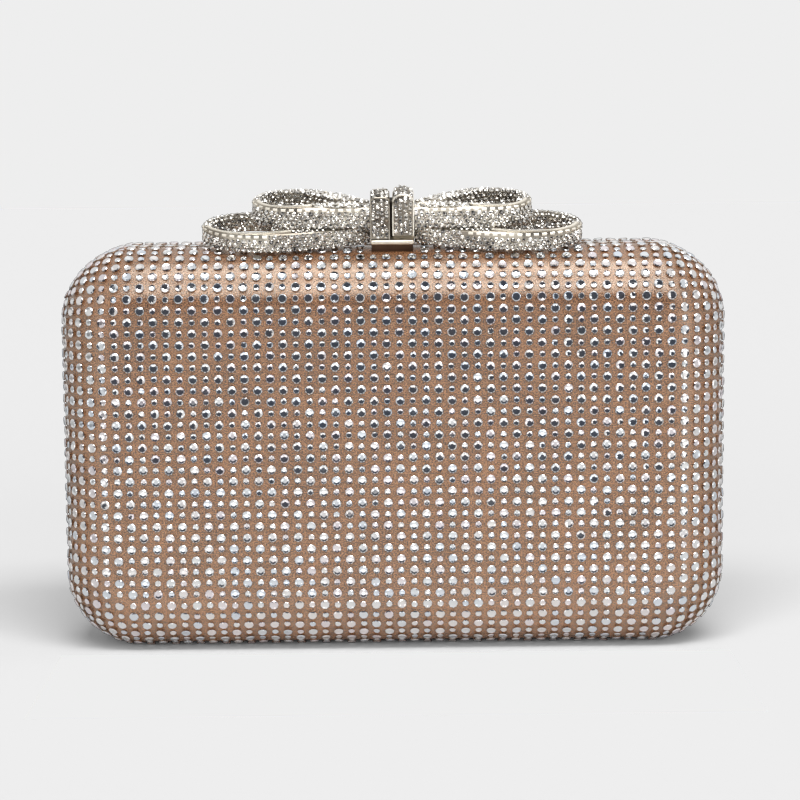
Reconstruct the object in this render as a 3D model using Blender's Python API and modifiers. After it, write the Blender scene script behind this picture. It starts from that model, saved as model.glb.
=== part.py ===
"""Evening bag: a hard box clutch that opens about its bottom seam, shut by a press lock in a bow.

Metres. +X runs along the bag, -Y faces the front and +Z is up. The origin lies on the surface that
the bag stands on, under the middle of the case.
"""

import math

import bmesh
import bpy
from mathutils import Matrix, Vector

MM = 0.001

# Case, measured over the stones
CASE_WIDTH = 200.0 * MM
CASE_HEIGHT = 122.0 * MM
CASE_DEPTH = 52.0 * MM
CORNER_RADIUS = 23.0 * MM  # of the outline seen from the front
EDGE_RADIUS = 18.0 * MM  # from the two faces round to the walls
COVER_THICKNESS = 1.8 * MM  # satin with its stones
SHELL_THICKNESS = 1.8 * MM
LINING_THICKNESS = 1.0 * MM
FIT_GAP = 0.3 * MM  # between pieces that touch
CORNER_STEPS = 6
EDGE_STEPS = 5

# Metal frames that meet at the seam
SEAM_GAP = 0.3 * MM
FRAME_SHEET = 1.0 * MM
FRAME_INSET = 0.6 * MM  # below the stones
FLANGE_DEPTH = 5.5 * MM  # from the face at the seam to the edge inside

# Hinges along the bottom seam
HINGE_HEIGHT = 1.6 * MM
HINGE_SPACING = 0.6 * CASE_WIDTH
HINGE_LENGTH = 24.0 * MM
FRONT_KNUCKLE = 8.0 * MM
BARREL_RADIUS = 1.3 * MM
PIN_RADIUS = 0.5 * MM
PIN_CLEARANCE = 0.15 * MM
LEAF_SHEET = 0.8 * MM
LEAF_REACH = 5.0 * MM  # from the seam
LEAF_END_ROOM = 0.6 * MM  # beside a leaf, in the gap of the frame
SWING_ROOM = 0.3 * MM  # between the hinge axis and the frames above it
HINGE_RIVET_SPACING = 16.0 * MM

# Rivets
RIVET_RADIUS = 0.6 * MM
RIVET_HEAD_RADIUS = 1.3 * MM
RIVET_HEAD_HEIGHT = 0.8 * MM
RIVET_CLEARANCE = 0.3 * MM
BOW_RIVET_RADIUS = 0.8 * MM
BOW_RIVET_SPACING = 8.8 * MM

# Bow, in a frame that leans forward on the rounding of the case
BOW_TILT = math.radians(19.0)
BAND_HEIGHT = 6.0 * MM
BAND_GAP = 0.9 * MM  # between the lower and the upper loops
LOOP_WALL = 2.6 * MM  # ribbon with its stones on both sides
LOOP_APEX = -1.5 * MM  # where the two walls of a loop would meet inside the knot
LOOP_HOLE_START = 14.0 * MM
LOOP_TAPER = 1.2
LOOP_STEPS = 32
HOLE_STEPS = 24
LOWER_LOOP_REACH = 56.9 * MM
LOWER_LOOP_DEPTH = 19.4 * MM
LOWER_LOOP_FRONT = -4.2 * MM  # near wall where the loop is deepest
LOWER_LOOP_STRAIGHTNESS = 0.0  # 0 draws both walls in alike towards the knot, 1 only the far one
UPPER_LOOP_REACH = 41.8 * MM
UPPER_LOOP_DEPTH = 16.9 * MM
UPPER_LOOP_FRONT = -0.6 * MM
UPPER_LOOP_STRAIGHTNESS = 1.0

# Knot, in the frame of the bow
PLATE_THICKNESS = 2.3 * MM
PLATE_MARGIN = 0.5 * MM  # beyond the knot, at the front and the back
KNOT_WIDTH = 13.0 * MM
KNOT_MIDDLE = 3.5 * MM
KNOT_STRAP = 2.2 * MM
KNOT_CORNER = 3.0 * MM
KNOT_SHOULDER = 1.7 * MM  # rounding of its top along both sides of each half
KNOT_CORNER_STEPS = 4
CORE_DEPTH = 4.0 * MM
CORE_HEIGHT = 11.1 * MM
SLIT_MIDDLE = -0.3 * MM
SLIT_WIDTH = 0.8 * MM
PRESS_TRAVEL = 1.2 * MM
STEM_RADIUS = 0.9 * MM
STEM_CLEARANCE = 0.3 * MM

# Catch inside the front half and the tongue of the rear half
CATCH_SHEET = 0.8 * MM
CATCH_WIDTH = 14.8 * MM
CATCH_FRONT = 3.4 * MM  # ahead of the tip of the stem
CATCH_REAR = 1.4 * MM  # behind the tip of the stem
EAR_SEAM_ROOM = 1.35 * MM
CATCH_RIVET_SPACING = 10.0 * MM
TONGUE_SHEET = 1.0 * MM
TONGUE_WIDTH = 7.6 * MM
TONGUE_CLEARANCE = 1.1 * MM  # under the heads of the rivets
TONGUE_STEM_ROOM = 0.6 * MM
TONGUE_TIP = 1.1 * MM  # bar ahead of the slot
TONGUE_RIVET_SPACING = 4.0 * MM
TOOTH_LENGTH = 2.0 * MM
TOOTH_WIDTH = 3.2 * MM
TOOTH_AHEAD = 1.4 * MM  # of the tip of the stem
TOOTH_TOP_ROOM = 0.2 * MM  # below the top of the tongue
SLOT_ROOM = 0.3 * MM
LEAF_SPRING_SHEET = 0.5 * MM
LEAF_SPRING_DROP = 1.1 * MM  # below the tongue
LEAF_SPRING_ROOT = 1.5 * MM
LEAF_SPRING_EDGE = 0.8 * MM  # beside the stem and the tooth
LEAF_SPRING_ROOM = 1.4 * MM  # for it to bend into

# Sizes that follow from those above
FRONT = -1
REAR = 1
HALF_DEPTH = CASE_DEPTH / 2
SHELL_INSET = COVER_THICKNESS + FIT_GAP
LINING_INSET = SHELL_INSET + SHELL_THICKNESS + FIT_GAP
WALL_INSET = LINING_INSET + LINING_THICKNESS
FLANGE_INSET = WALL_INSET + FIT_GAP + FRAME_SHEET
SEAM_FACE = SEAM_GAP / 2
FRAME_BACK = SEAM_FACE + FRAME_SHEET
RIM = FRAME_BACK + FIT_GAP
FLANGE_EDGE = SEAM_FACE + FLANGE_DEPTH
FLANGE_MIDDLE = (FRAME_BACK + FLANGE_EDGE) / 2
LEAF_BASE = FLANGE_INSET + FIT_GAP
LEAF_TOP = LEAF_BASE + LEAF_SHEET
ROD_SIDES = 16
CUT_REACH = 10.0 * MM  # how far a cutter runs past what it cuts

BOW_SEAT = Vector(
    (
        0.0,
        -(HALF_DEPTH - EDGE_RADIUS) - EDGE_RADIUS * math.sin(BOW_TILT),
        CASE_HEIGHT - EDGE_RADIUS * (1 - math.cos(BOW_TILT)),
    )
)
BOW_FRAME = Matrix.Translation(BOW_SEAT) @ Matrix.Rotation(BOW_TILT, 4, "X")
PLATE_TOP = FIT_GAP + PLATE_THICKNESS
KNOT_FOOT = PLATE_TOP + FIT_GAP
CORE_TOP = KNOT_FOOT + CORE_HEIGHT
WIDEST_TURN = 2 * math.atan(math.sqrt(LOOP_TAPER + 1))
KNOT_HALF_DEPTH = CORE_DEPTH / 2 + FIT_GAP + KNOT_STRAP
STEM_X = (SLIT_MIDDLE + SLIT_WIDTH / 2 + KNOT_WIDTH / 2) / 2
STEM_HOLE_RADIUS = STEM_RADIUS + STEM_CLEARANCE

EAR_TOP = CASE_HEIGHT - FLANGE_INSET - FIT_GAP
EAR_BASE = EAR_TOP - CATCH_SHEET
TONGUE_TOP = EAR_BASE - FIT_GAP - RIVET_HEAD_HEIGHT - TONGUE_CLEARANCE
TONGUE_BASE = TONGUE_TOP - TONGUE_SHEET
SPRING_TOP = TONGUE_BASE - LEAF_SPRING_DROP
SPRING_BASE = SPRING_TOP - LEAF_SPRING_SHEET
FLOOR_TOP = SPRING_BASE - LEAF_SPRING_ROOM
FLOOR_BASE = FLOOR_TOP - CATCH_SHEET
STEM_TIP_HEIGHT = SPRING_TOP + FIT_GAP + STEM_RADIUS * math.sin(BOW_TILT)
STEM_TIP = (STEM_TIP_HEIGHT - BOW_SEAT.z - KNOT_MIDDLE * math.sin(BOW_TILT)) / math.cos(BOW_TILT)
STEM_TIP_Y = (BOW_FRAME @ Vector((STEM_X, KNOT_MIDDLE, STEM_TIP))).y
CATCH_FRONT_Y = STEM_TIP_Y - CATCH_FRONT
CATCH_REAR_Y = STEM_TIP_Y + CATCH_REAR
EAR_REAR_Y = -(SEAM_FACE + EAR_SEAM_ROOM)
TONGUE_RIGHT = STEM_X - STEM_RADIUS - TONGUE_STEM_ROOM
TONGUE_MIDDLE = TONGUE_RIGHT - TONGUE_WIDTH / 2
TOOTH_FRONT_Y = STEM_TIP_Y - TOOTH_AHEAD
TOOTH_REAR_Y = TOOTH_FRONT_Y + TOOTH_LENGTH
TONGUE_TIP_Y = TOOTH_FRONT_Y - SLOT_ROOM - TONGUE_TIP

# Finishes: colour, roughness, metallic
SATIN = ((0.36, 0.21, 0.135), 0.45, 0.0)
BOARD = ((0.30, 0.27, 0.23), 0.8, 0.0)
LINING_CLOTH = ((0.42, 0.27, 0.18), 0.6, 0.0)
PALE_METAL = ((0.80, 0.74, 0.63), 0.22, 1.0)
PAVE = ((0.78, 0.76, 0.72), 0.15, 1.0)
SPRING_STEEL = ((0.55, 0.55, 0.56), 0.3, 1.0)


def clear_scene():
    for obj in list(bpy.data.objects):
        bpy.data.objects.remove(obj, do_unlink=True)


def make_collection(name):
    group = bpy.data.collections.new(name)
    bpy.context.scene.collection.children.link(group)
    return group


def make_frame(name, matrix, parent=None):
    """An empty that carries the pieces of one moving body or one sub-assembly."""
    empty = bpy.data.objects.new(name, None)
    PARTS.objects.link(empty)
    empty.matrix_world = matrix
    attach(empty, parent)
    return empty


def attach(obj, parent):
    """Parents an object and leaves it where it is."""
    if parent is not None:
        bpy.context.view_layer.update()
        obj.parent = parent
        obj.matrix_parent_inverse = parent.matrix_world.inverted()


def dress(obj, finish):
    """Gives a piece its own Principled material."""
    colour, roughness, metallic = finish
    material = bpy.data.materials.new(obj.name + "_finish")
    material.use_nodes = True
    shader = material.node_tree.nodes["Principled BSDF"]
    shader.inputs["Base Color"].default_value = (*colour, 1.0)
    shader.inputs["Roughness"].default_value = roughness
    shader.inputs["Metallic"].default_value = metallic
    material.diffuse_color = (*colour, 1.0)
    obj.data.materials.append(material)


def add_part(name, bm, finish, parent, matrix=Matrix()):
    """A named piece made from a mesh, in the collection of the bag."""
    obj = object_from(name, bm, matrix, PARTS)
    dress(obj, finish)
    attach(obj, parent)
    return obj


def add_tool(name, bm, matrix=Matrix()):
    """A hidden shape that cuts or joins pieces."""
    obj = object_from(name, bm, matrix, TOOLS)
    obj.hide_render = True
    obj.display_type = "WIRE"
    return obj


def object_from(name, bm, matrix, group):
    mesh = bpy.data.meshes.new(name)
    bm.to_mesh(mesh)
    bm.free()
    obj = bpy.data.objects.new(name, mesh)
    group.objects.link(obj)
    obj.matrix_world = matrix
    return obj


def add_boolean(obj, tool, operation):
    modifier = obj.modifiers.new(operation.lower() + "_" + tool.name, "BOOLEAN")
    modifier.operation = operation
    modifier.object = tool


def cut(obj, *tools):
    for tool in tools:
        add_boolean(obj, tool, "DIFFERENCE")


def fuse(obj, *tools):
    for tool in tools:
        add_boolean(obj, tool, "UNION")


def box(low, high):
    """A box between two corners, given in any order along each axis."""
    bm = bmesh.new()
    low, high = Vector(low), Vector(high)
    size = Vector([abs(b - a) for a, b in zip(low, high)])
    bmesh.ops.create_cube(bm, size=1.0, matrix=Matrix.LocRotScale((low + high) / 2, None, size))
    return bm


def rods(radius, *ends):
    """Cylinders of one radius, each between a start and an end."""
    bm = bmesh.new()
    for start, end in ends:
        start, end = Vector(start), Vector(end)
        turn = (end - start).to_track_quat("Z", "Y").to_matrix().to_4x4()
        bmesh.ops.create_cone(
            bm,
            cap_ends=True,
            segments=ROD_SIDES,
            radius1=radius,
            radius2=radius,
            depth=(end - start).length,
            matrix=Matrix.Translation((start + end) / 2) @ turn,
        )
    return bm


def outline(name, splines, half_thickness):
    """A flat outline in XY, thickened along Z and centred on it, as a welded mesh."""
    curve = bpy.data.curves.new(name, "CURVE")
    curve.dimensions = "2D"
    curve.fill_mode = "BOTH"
    curve.extrude = half_thickness
    for points in splines:
        spline = curve.splines.new("POLY")
        spline.points.add(len(points) - 1)
        for point, (x, y) in zip(spline.points, points):
            point.co = (x, y, 0.0, 1.0)
        spline.use_cyclic_u = True
    obj = bpy.data.objects.new(name, curve)
    TOOLS.objects.link(obj)
    evaluated = obj.evaluated_get(bpy.context.evaluated_depsgraph_get())
    mesh = bpy.data.meshes.new_from_object(evaluated)
    bm = bmesh.new()
    bm.from_mesh(mesh)
    bmesh.ops.remove_doubles(bm, verts=bm.verts, dist=0.001 * MM)
    bpy.data.objects.remove(obj)
    bpy.data.curves.remove(curve)
    bpy.data.meshes.remove(mesh)
    return bm


def side_profile(name, points, left, right):
    """An outline given in Y and Z, thickened along X from left to right."""
    bm = outline(name, [points], (right - left) / 2)
    turn = Matrix.Rotation(math.radians(90.0), 4, "Z") @ Matrix.Rotation(math.radians(90.0), 4, "X")
    place = Matrix.Translation(((left + right) / 2, 0.0, 0.0)) @ turn
    bmesh.ops.transform(bm, matrix=place, verts=bm.verts)
    return bm


def half_name(side):
    return "front" if side == FRONT else "rear"


def half_parent(side):
    return FRONT_HALF if side == FRONT else REAR_HALF


def tray(name, side, inset, thickness, finish):
    """One layer of a half: an open box with rounded corners and edges, thickened inwards."""
    half_width = CASE_WIDTH / 2 - inset
    face = side * (HALF_DEPTH - inset)
    bm = box((-half_width, side * RIM, inset), (half_width, face, CASE_HEIGHT - inset))
    rims = [f for f in bm.faces if f.normal.y * side < -0.5]
    bmesh.ops.delete(bm, geom=rims, context="FACES_ONLY")
    corners = [e for e in bm.edges if abs((e.verts[0].co - e.verts[1].co).y) > RIM]
    bevel(bm, corners, CORNER_RADIUS - inset, CORNER_STEPS)
    face_edges = max(bm.faces, key=lambda f: f.normal.y * side).edges
    bevel(bm, list(face_edges), EDGE_RADIUS - inset, EDGE_STEPS)
    obj = add_part(name, bm, finish, half_parent(side))
    thicken(obj, thickness)
    return obj


def bevel(bm, edges, radius, steps):
    bmesh.ops.bevel(
        bm,
        geom=edges,
        offset=radius,
        offset_type="OFFSET",
        segments=steps,
        profile=0.5,
        affect="EDGES",
    )


def thicken(obj, thickness):
    """A wall that grows against the normals of an open surface."""
    modifier = obj.modifiers.new("wall", "SOLIDIFY")
    modifier.thickness = thickness
    modifier.offset = -1.0
    modifier.use_even_offset = True


def rim_frame(side):
    """A sheet frame of angle section: a ring at the seam and a flange along the inside of the lining."""
    bm = bmesh.new()
    width = CASE_WIDTH - 2 * FRAME_INSET
    height = CASE_HEIGHT - 2 * FRAME_INSET
    upright = Matrix.Rotation(math.radians(90.0), 4, "X")
    middle = Matrix.Translation((0.0, side * SEAM_FACE, CASE_HEIGHT / 2))
    size = Matrix.Diagonal((width, height, 1.0, 1.0))
    bmesh.ops.create_grid(bm, x_segments=1, y_segments=1, size=0.5, matrix=middle @ upright @ size)
    bmesh.ops.bevel(
        bm,
        geom=bm.verts[:],
        offset=CORNER_RADIUS - FRAME_INSET,
        offset_type="OFFSET",
        segments=CORNER_STEPS,
        profile=0.5,
        affect="VERTICES",
    )
    plate = bm.faces[:]
    bmesh.ops.inset_region(
        bm,
        faces=plate,
        thickness=FLANGE_INSET - FRAME_INSET,
        use_boundary=True,
        use_even_offset=True,
    )
    inner_edges = list(plate[0].edges)
    bmesh.ops.delete(bm, geom=plate, context="FACES_ONLY")
    grown = bmesh.ops.extrude_edge_only(bm, edges=inner_edges)
    moved = [v for v in grown["geom"] if isinstance(v, bmesh.types.BMVert)]
    bmesh.ops.translate(bm, verts=moved, vec=(0.0, side * FLANGE_DEPTH, 0.0))
    bmesh.ops.recalc_face_normals(bm, faces=bm.faces[:])
    ring = max(bm.faces, key=lambda f: abs(f.normal.y))
    if ring.normal.y * side > 0:
        bmesh.ops.reverse_faces(bm, faces=bm.faces[:])
    obj = add_part(half_name(side) + "_frame", bm, PALE_METAL, half_parent(side))
    thicken(obj, FRAME_SHEET)
    return obj


def hinge_middles():
    return {"left": -HINGE_SPACING / 2, "right": HINGE_SPACING / 2}


def hinge_rivet_points(middle, side):
    return [(middle + share * HINGE_RIVET_SPACING / 2, side * FLANGE_MIDDLE) for share in (-1, 1)]


def rivet(name, foot, top, parent, radius=RIVET_RADIUS, matrix=Matrix()):
    """A rivet with its shank from foot to top and its head beyond the foot, a fit gap away from it."""
    foot, top = Vector(foot), Vector(top)
    along = (foot - top).normalized()
    head_start = foot + along * FIT_GAP
    head_end = head_start + along * RIVET_HEAD_HEIGHT
    obj = add_part(name, rods(radius, (head_end, top)), PALE_METAL, parent, matrix)
    head = rods(radius + RIVET_HEAD_RADIUS - RIVET_RADIUS, (head_start, head_end))
    fuse(obj, add_tool(name + "_head", head, matrix))


def hinge_leaf(side, where, middle):
    """A leaf on the flange of its frame, with a web in the seam and its own knuckles on the pin."""
    half = HINGE_LENGTH / 2
    name = "_".join((half_name(side), "hinge_leaf", where))
    seam, web = side * SEAM_FACE, side * (SEAM_FACE + LEAF_SHEET)
    web_base = HINGE_HEIGHT + BARREL_RADIUS + 2 * FIT_GAP
    reach = side * LEAF_REACH
    profile = [
        (seam, web_base),
        (web, web_base),
        (web, LEAF_BASE),
        (reach, LEAF_BASE),
        (reach, LEAF_TOP),
        (seam, LEAF_TOP),
    ]
    bm = side_profile(name, profile, middle - half, middle + half)
    obj = add_part(name, bm, PALE_METAL, half_parent(side))
    inner = FRONT_KNUCKLE / 2
    spans = [(-inner, inner)]
    if side == REAR:
        spans = [(-half, -inner - FIT_GAP), (inner + FIT_GAP, half)]
    for index, (start, end) in enumerate(spans):
        start, end = middle + start, middle + end
        label = "_".join((name, "knuckle", str(index)))
        arm = box((start, seam, HINGE_HEIGHT), (end, web, web_base + LEAF_SHEET))
        barrel = rods(BARREL_RADIUS, ((start, 0.0, HINGE_HEIGHT), (end, 0.0, HINGE_HEIGHT)))
        fuse(obj, add_tool(label + "_arm", arm), add_tool(label + "_barrel", barrel))
    ends = (middle - half - CUT_REACH, 0.0, HINGE_HEIGHT), (middle + half + CUT_REACH, 0.0, HINGE_HEIGHT)
    points = hinge_rivet_points(middle, side)
    holes = [((x, y, LEAF_BASE - CUT_REACH), (x, y, LEAF_TOP + CUT_REACH)) for x, y in points]
    cut(obj, add_tool(name + "_bore", rods(PIN_RADIUS + PIN_CLEARANCE, ends)))
    cut(obj, add_tool(name + "_holes", rods(RIVET_RADIUS + RIVET_CLEARANCE, *holes)))


def hinges(frames):
    """Two hinges on the bottom bars, with the room that they need cut from the frames."""
    notch_depth = FRAME_BACK + FIT_GAP / 2
    wide = CASE_WIDTH
    swing = box((-wide, -notch_depth, -CUT_REACH), (wide, notch_depth, HINGE_HEIGHT + SWING_ROOM))
    cut_all(frames.values(), add_tool("hinge_swing_room", swing))
    for where, middle in hinge_middles().items():
        half = HINGE_LENGTH / 2
        notch_half = half + LEAF_END_ROOM
        low = (middle - notch_half, -notch_depth, 0.0)
        notch = box(low, (middle + notch_half, notch_depth, LEAF_TOP))
        cut_all(frames.values(), add_tool("hinge_notch_" + where, notch))
        pin = rods(PIN_RADIUS, ((middle - half, 0.0, HINGE_HEIGHT), (middle + half, 0.0, HINGE_HEIGHT)))
        add_part("hinge_pin_" + where, pin, PALE_METAL, REAR_HALF)
        for side, frame in frames.items():
            hinge_leaf(side, where, middle)
            hinge_rivets(side, where, middle, frame)


def hinge_rivets(side, where, middle, frame):
    """Rivets down through a leaf, flush under the flange."""
    shank_end = WALL_INSET + FIT_GAP
    points = hinge_rivet_points(middle, side)
    holes = [((x, y, WALL_INSET - CUT_REACH), (x, y, LEAF_TOP)) for x, y in points]
    label = "_".join((half_name(side), "hinge_rivet", where))
    cut(frame, add_tool(label + "_holes", rods(RIVET_RADIUS + RIVET_CLEARANCE, *holes)))
    for index, (x, y) in enumerate(points, start=1):
        name = "_".join((label, str(index)))
        rivet(name, (x, y, LEAF_TOP), (x, y, shank_end), half_parent(side))


def cut_all(objects, tool):
    for obj in objects:
        cut(obj, tool)


def swell(angle):
    """Half depth of a loop at a turn angle, as a share of the greatest, which is at WIDEST_TURN."""
    greatest = math.sin(WIDEST_TURN) * math.sin(WIDEST_TURN / 2) ** LOOP_TAPER
    return math.sin(angle) * abs(math.sin(angle / 2)) ** LOOP_TAPER / greatest


def loop_axis(x, reach, half_depth, front, straightness):
    """The middle between the two walls of a loop, which bends to the front on its way to the knot."""
    share = min(max((x - LOOP_APEX) / (reach - LOOP_APEX), 0.0), 1.0)
    drawn_in = 1 - swell(min(math.acos(1 - 2 * share), WIDEST_TURN))
    return front + half_depth * (1 - straightness * drawn_in)


def loop_points(reach, start, apex, half_depth, steps):
    """A teardrop about the X axis that ends round at reach, drawn in towards apex and cut off at start.

    At the turn angle a it lies at x = apex + (reach - apex) * (1 - cos a) / 2, and its half depth
    is in proportion to sin a * sin(a / 2) ** LOOP_TAPER.
    """
    length = reach - apex
    first = math.acos(1 - 2 * (start - apex) / length)
    angles = [first + (2 * math.pi - 2 * first) * k / steps for k in range(steps + 1)]
    return [(apex + length * (1 - math.cos(angle)) / 2, half_depth * swell(angle)) for angle in angles]


def bow_loop(name, side, reach, depth, front, straightness, lift):
    """One upright ribbon loop of the bow, on the left (-1) or on the right (1) of the knot."""
    start = KNOT_WIDTH / 2 + FIT_GAP
    outer = loop_points(reach, start, LOOP_APEX, depth / 2, LOOP_STEPS)
    hole = loop_points(
        reach - LOOP_WALL, LOOP_HOLE_START, LOOP_HOLE_START, depth / 2 - LOOP_WALL, HOLE_STEPS
    )
    splines = [
        [(side * x, y + loop_axis(x, reach, depth / 2, front, straightness)) for x, y in points]
        for points in (outer, hole[:-1])
    ]
    bm = outline(name, splines, BAND_HEIGHT / 2)
    bmesh.ops.translate(bm, verts=bm.verts, vec=(0.0, 0.0, lift + BAND_HEIGHT / 2))
    add_part(name, bm, PAVE, BOW, BOW_FRAME)


def arch(front, back, foot, top, corner):
    """The points up, over and down a strap with rounded top corners, in Y and Z."""
    points = [(front, foot)]
    for centre, start in ((front + corner, math.pi), (back - corner, math.pi / 2)):
        for k in range(KNOT_CORNER_STEPS + 1):
            angle = start - math.pi / 2 * k / KNOT_CORNER_STEPS
            points.append((centre + corner * math.cos(angle), top - corner + corner * math.sin(angle)))
    points.append((back, foot))
    return points


def knot_strap(name, left, right, foot, room, parent):
    """Half of the knot: a strap over the core, with room between its top and the core."""
    inner_half = CORE_DEPTH / 2 + FIT_GAP
    inner_top = CORE_TOP + room
    outer = arch(
        KNOT_MIDDLE - KNOT_HALF_DEPTH,
        KNOT_MIDDLE + KNOT_HALF_DEPTH,
        foot,
        inner_top + KNOT_STRAP,
        KNOT_CORNER,
    )
    inner_corner = KNOT_CORNER - KNOT_STRAP
    inner = arch(KNOT_MIDDLE - inner_half, KNOT_MIDDLE + inner_half, foot, inner_top, inner_corner)
    bm = side_profile(name, outer + inner[::-1], left, right)
    strap = add_part(name, bm, PAVE, parent, BOW_FRAME)
    cut(strap, shoulders(name + "_shoulders", left, right, inner_top + KNOT_STRAP))
    return strap


def shoulders(name, left, right, top):
    """What is cut off the two upper side edges of a knot half to leave them rounded."""
    splines = []
    for edge, inward in ((left, 1), (right, -1)):
        points = [(edge - inward * CUT_REACH, top - KNOT_SHOULDER)]
        for k in range(KNOT_CORNER_STEPS + 1):
            angle = math.pi / 2 * k / KNOT_CORNER_STEPS
            inset = KNOT_SHOULDER * (1 - math.cos(angle))
            points.append((edge + inward * inset, top - KNOT_SHOULDER * (1 - math.sin(angle))))
        points += [
            (edge + inward * KNOT_SHOULDER, top + CUT_REACH),
            (edge - inward * CUT_REACH, top + CUT_REACH),
        ]
        splines.append(points[::inward])
    bm = outline(name, splines, KNOT_HALF_DEPTH + PLATE_MARGIN)
    upright = Matrix.Translation((0.0, KNOT_MIDDLE, 0.0)) @ Matrix.Rotation(math.pi / 2, 4, "X")
    return add_tool(name, bm, BOW_FRAME @ upright)


def bow(front_layers):
    """The bow on its plate, with the press piece of the lock in the right half of its knot."""
    half = KNOT_WIDTH / 2
    margin = KNOT_HALF_DEPTH + PLATE_MARGIN
    plate_bm = box((-half, KNOT_MIDDLE - margin, FIT_GAP), (half, KNOT_MIDDLE + margin, PLATE_TOP))
    plate = add_part("bow_plate", plate_bm, PALE_METAL, BOW, BOW_FRAME)
    core_arch = arch(
        KNOT_MIDDLE - CORE_DEPTH / 2,
        KNOT_MIDDLE + CORE_DEPTH / 2,
        KNOT_FOOT,
        CORE_TOP,
        KNOT_CORNER - KNOT_STRAP - FIT_GAP,
    )
    core_bm = side_profile("bow_core", core_arch, -half, half)
    core = add_part("bow_core", core_bm, PALE_METAL, BOW, BOW_FRAME)
    knot_strap("fixed_knot", -half, SLIT_MIDDLE - SLIT_WIDTH / 2, KNOT_FOOT, FIT_GAP, BOW)
    press_room = PRESS_TRAVEL + FIT_GAP
    button = knot_strap(
        "release_button", SLIT_MIDDLE + SLIT_WIDTH / 2, half, PLATE_TOP + press_room, press_room, BUTTON
    )
    stem_foot = CORE_TOP + press_room + KNOT_STRAP / 2
    stem_line = ((STEM_X, KNOT_MIDDLE, STEM_TIP), (STEM_X, KNOT_MIDDLE, stem_foot))
    fuse(button, add_tool("button_stem", rods(STEM_RADIUS, stem_line), BOW_FRAME))
    hole_line = ((STEM_X, KNOT_MIDDLE, STEM_TIP), (STEM_X, KNOT_MIDDLE, CORE_TOP + CUT_REACH))
    stem_hole = add_tool("stem_hole", rods(STEM_HOLE_RADIUS, hole_line), BOW_FRAME)
    cut_all((plate, core, *front_layers), stem_hole)
    bow_rivets((plate, *front_layers))
    lower = (LOWER_LOOP_REACH, LOWER_LOOP_DEPTH, LOWER_LOOP_FRONT, LOWER_LOOP_STRAIGHTNESS)
    upper = (UPPER_LOOP_REACH, UPPER_LOOP_DEPTH, UPPER_LOOP_FRONT, UPPER_LOOP_STRAIGHTNESS)
    upper_lift = FIT_GAP + BAND_HEIGHT + BAND_GAP
    for where, side in (("left", -1), ("right", 1)):
        bow_loop("lower_" + where + "_loop", side, *lower, FIT_GAP)
        bow_loop("upper_" + where + "_loop", side, *upper, upper_lift)
    return stem_hole


def bow_rivets(layers):
    """Rivets that hold the plate through the cover, the shell and the lining, headed inside."""
    ends = {"left": -BOW_RIVET_SPACING / 2, "right": BOW_RIVET_SPACING / 2}
    holes = [((x, 0.0, -WALL_INSET - CUT_REACH), (x, 0.0, PLATE_TOP + CUT_REACH)) for x in ends.values()]
    tool = add_tool("bow_rivet_holes", rods(BOW_RIVET_RADIUS + RIVET_CLEARANCE, *holes), BOW_FRAME)
    cut_all(layers, tool)
    for where, x in ends.items():
        foot, top = (x, 0.0, -WALL_INSET), (x, 0.0, PLATE_TOP)
        rivet("bow_rivet_" + where, foot, top, BOW, BOW_RIVET_RADIUS, BOW_FRAME)


def catch(front_frame, stem_hole):
    """The lock's housing under the front frame, and its leaf spring with the tooth."""
    half = CATCH_WIDTH / 2
    housing_bm = box((-half, CATCH_FRONT_Y, FLOOR_BASE), (half, CATCH_REAR_Y, EAR_TOP))
    housing = add_part("catch_box", housing_bm, PALE_METAL, FRONT_HALF)
    inner = half - CATCH_SHEET
    way = box((-inner, CATCH_FRONT_Y - CUT_REACH, FLOOR_TOP), (inner, CATCH_REAR_Y + CUT_REACH, EAR_BASE))
    ear = box((-half, CATCH_REAR_Y - CATCH_SHEET, EAR_BASE), (half, EAR_REAR_Y, EAR_TOP))
    cut(housing, add_tool("catch_way", way))
    fuse(housing, add_tool("catch_ear", ear))
    cut(housing, stem_hole)
    rivet_row("catch_rivet", FRONT, 0.0, CATCH_RIVET_SPACING, EAR_BASE, (housing, front_frame))
    spring_left = TONGUE_MIDDLE - TOOTH_WIDTH / 2 - LEAF_SPRING_EDGE
    spring_right = STEM_X + STEM_RADIUS + LEAF_SPRING_EDGE
    root = CATCH_FRONT_Y + FIT_GAP
    root_end = root + LEAF_SPRING_ROOT
    spring_profile = [
        (root, FLOOR_TOP + FIT_GAP),
        (root_end, FLOOR_TOP + FIT_GAP),
        (root_end, SPRING_BASE),
        (CATCH_REAR_Y, SPRING_BASE),
        (CATCH_REAR_Y, SPRING_TOP),
        (root, SPRING_TOP),
    ]
    spring_bm = side_profile("catch_spring", spring_profile, spring_left, spring_right)
    spring = add_part("catch_spring", spring_bm, SPRING_STEEL, FRONT_HALF)
    tooth_profile = [
        (TOOTH_FRONT_Y, SPRING_BASE + LEAF_SPRING_SHEET / 2),
        (TOOTH_REAR_Y, SPRING_BASE + LEAF_SPRING_SHEET / 2),
        (TOOTH_FRONT_Y, TONGUE_TOP - TOOTH_TOP_ROOM),
    ]
    tooth_left = TONGUE_MIDDLE - TOOTH_WIDTH / 2
    tooth_bm = side_profile("catch_tooth", tooth_profile, tooth_left, tooth_left + TOOTH_WIDTH)
    fuse(spring, add_tool("catch_tooth", tooth_bm))


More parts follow.
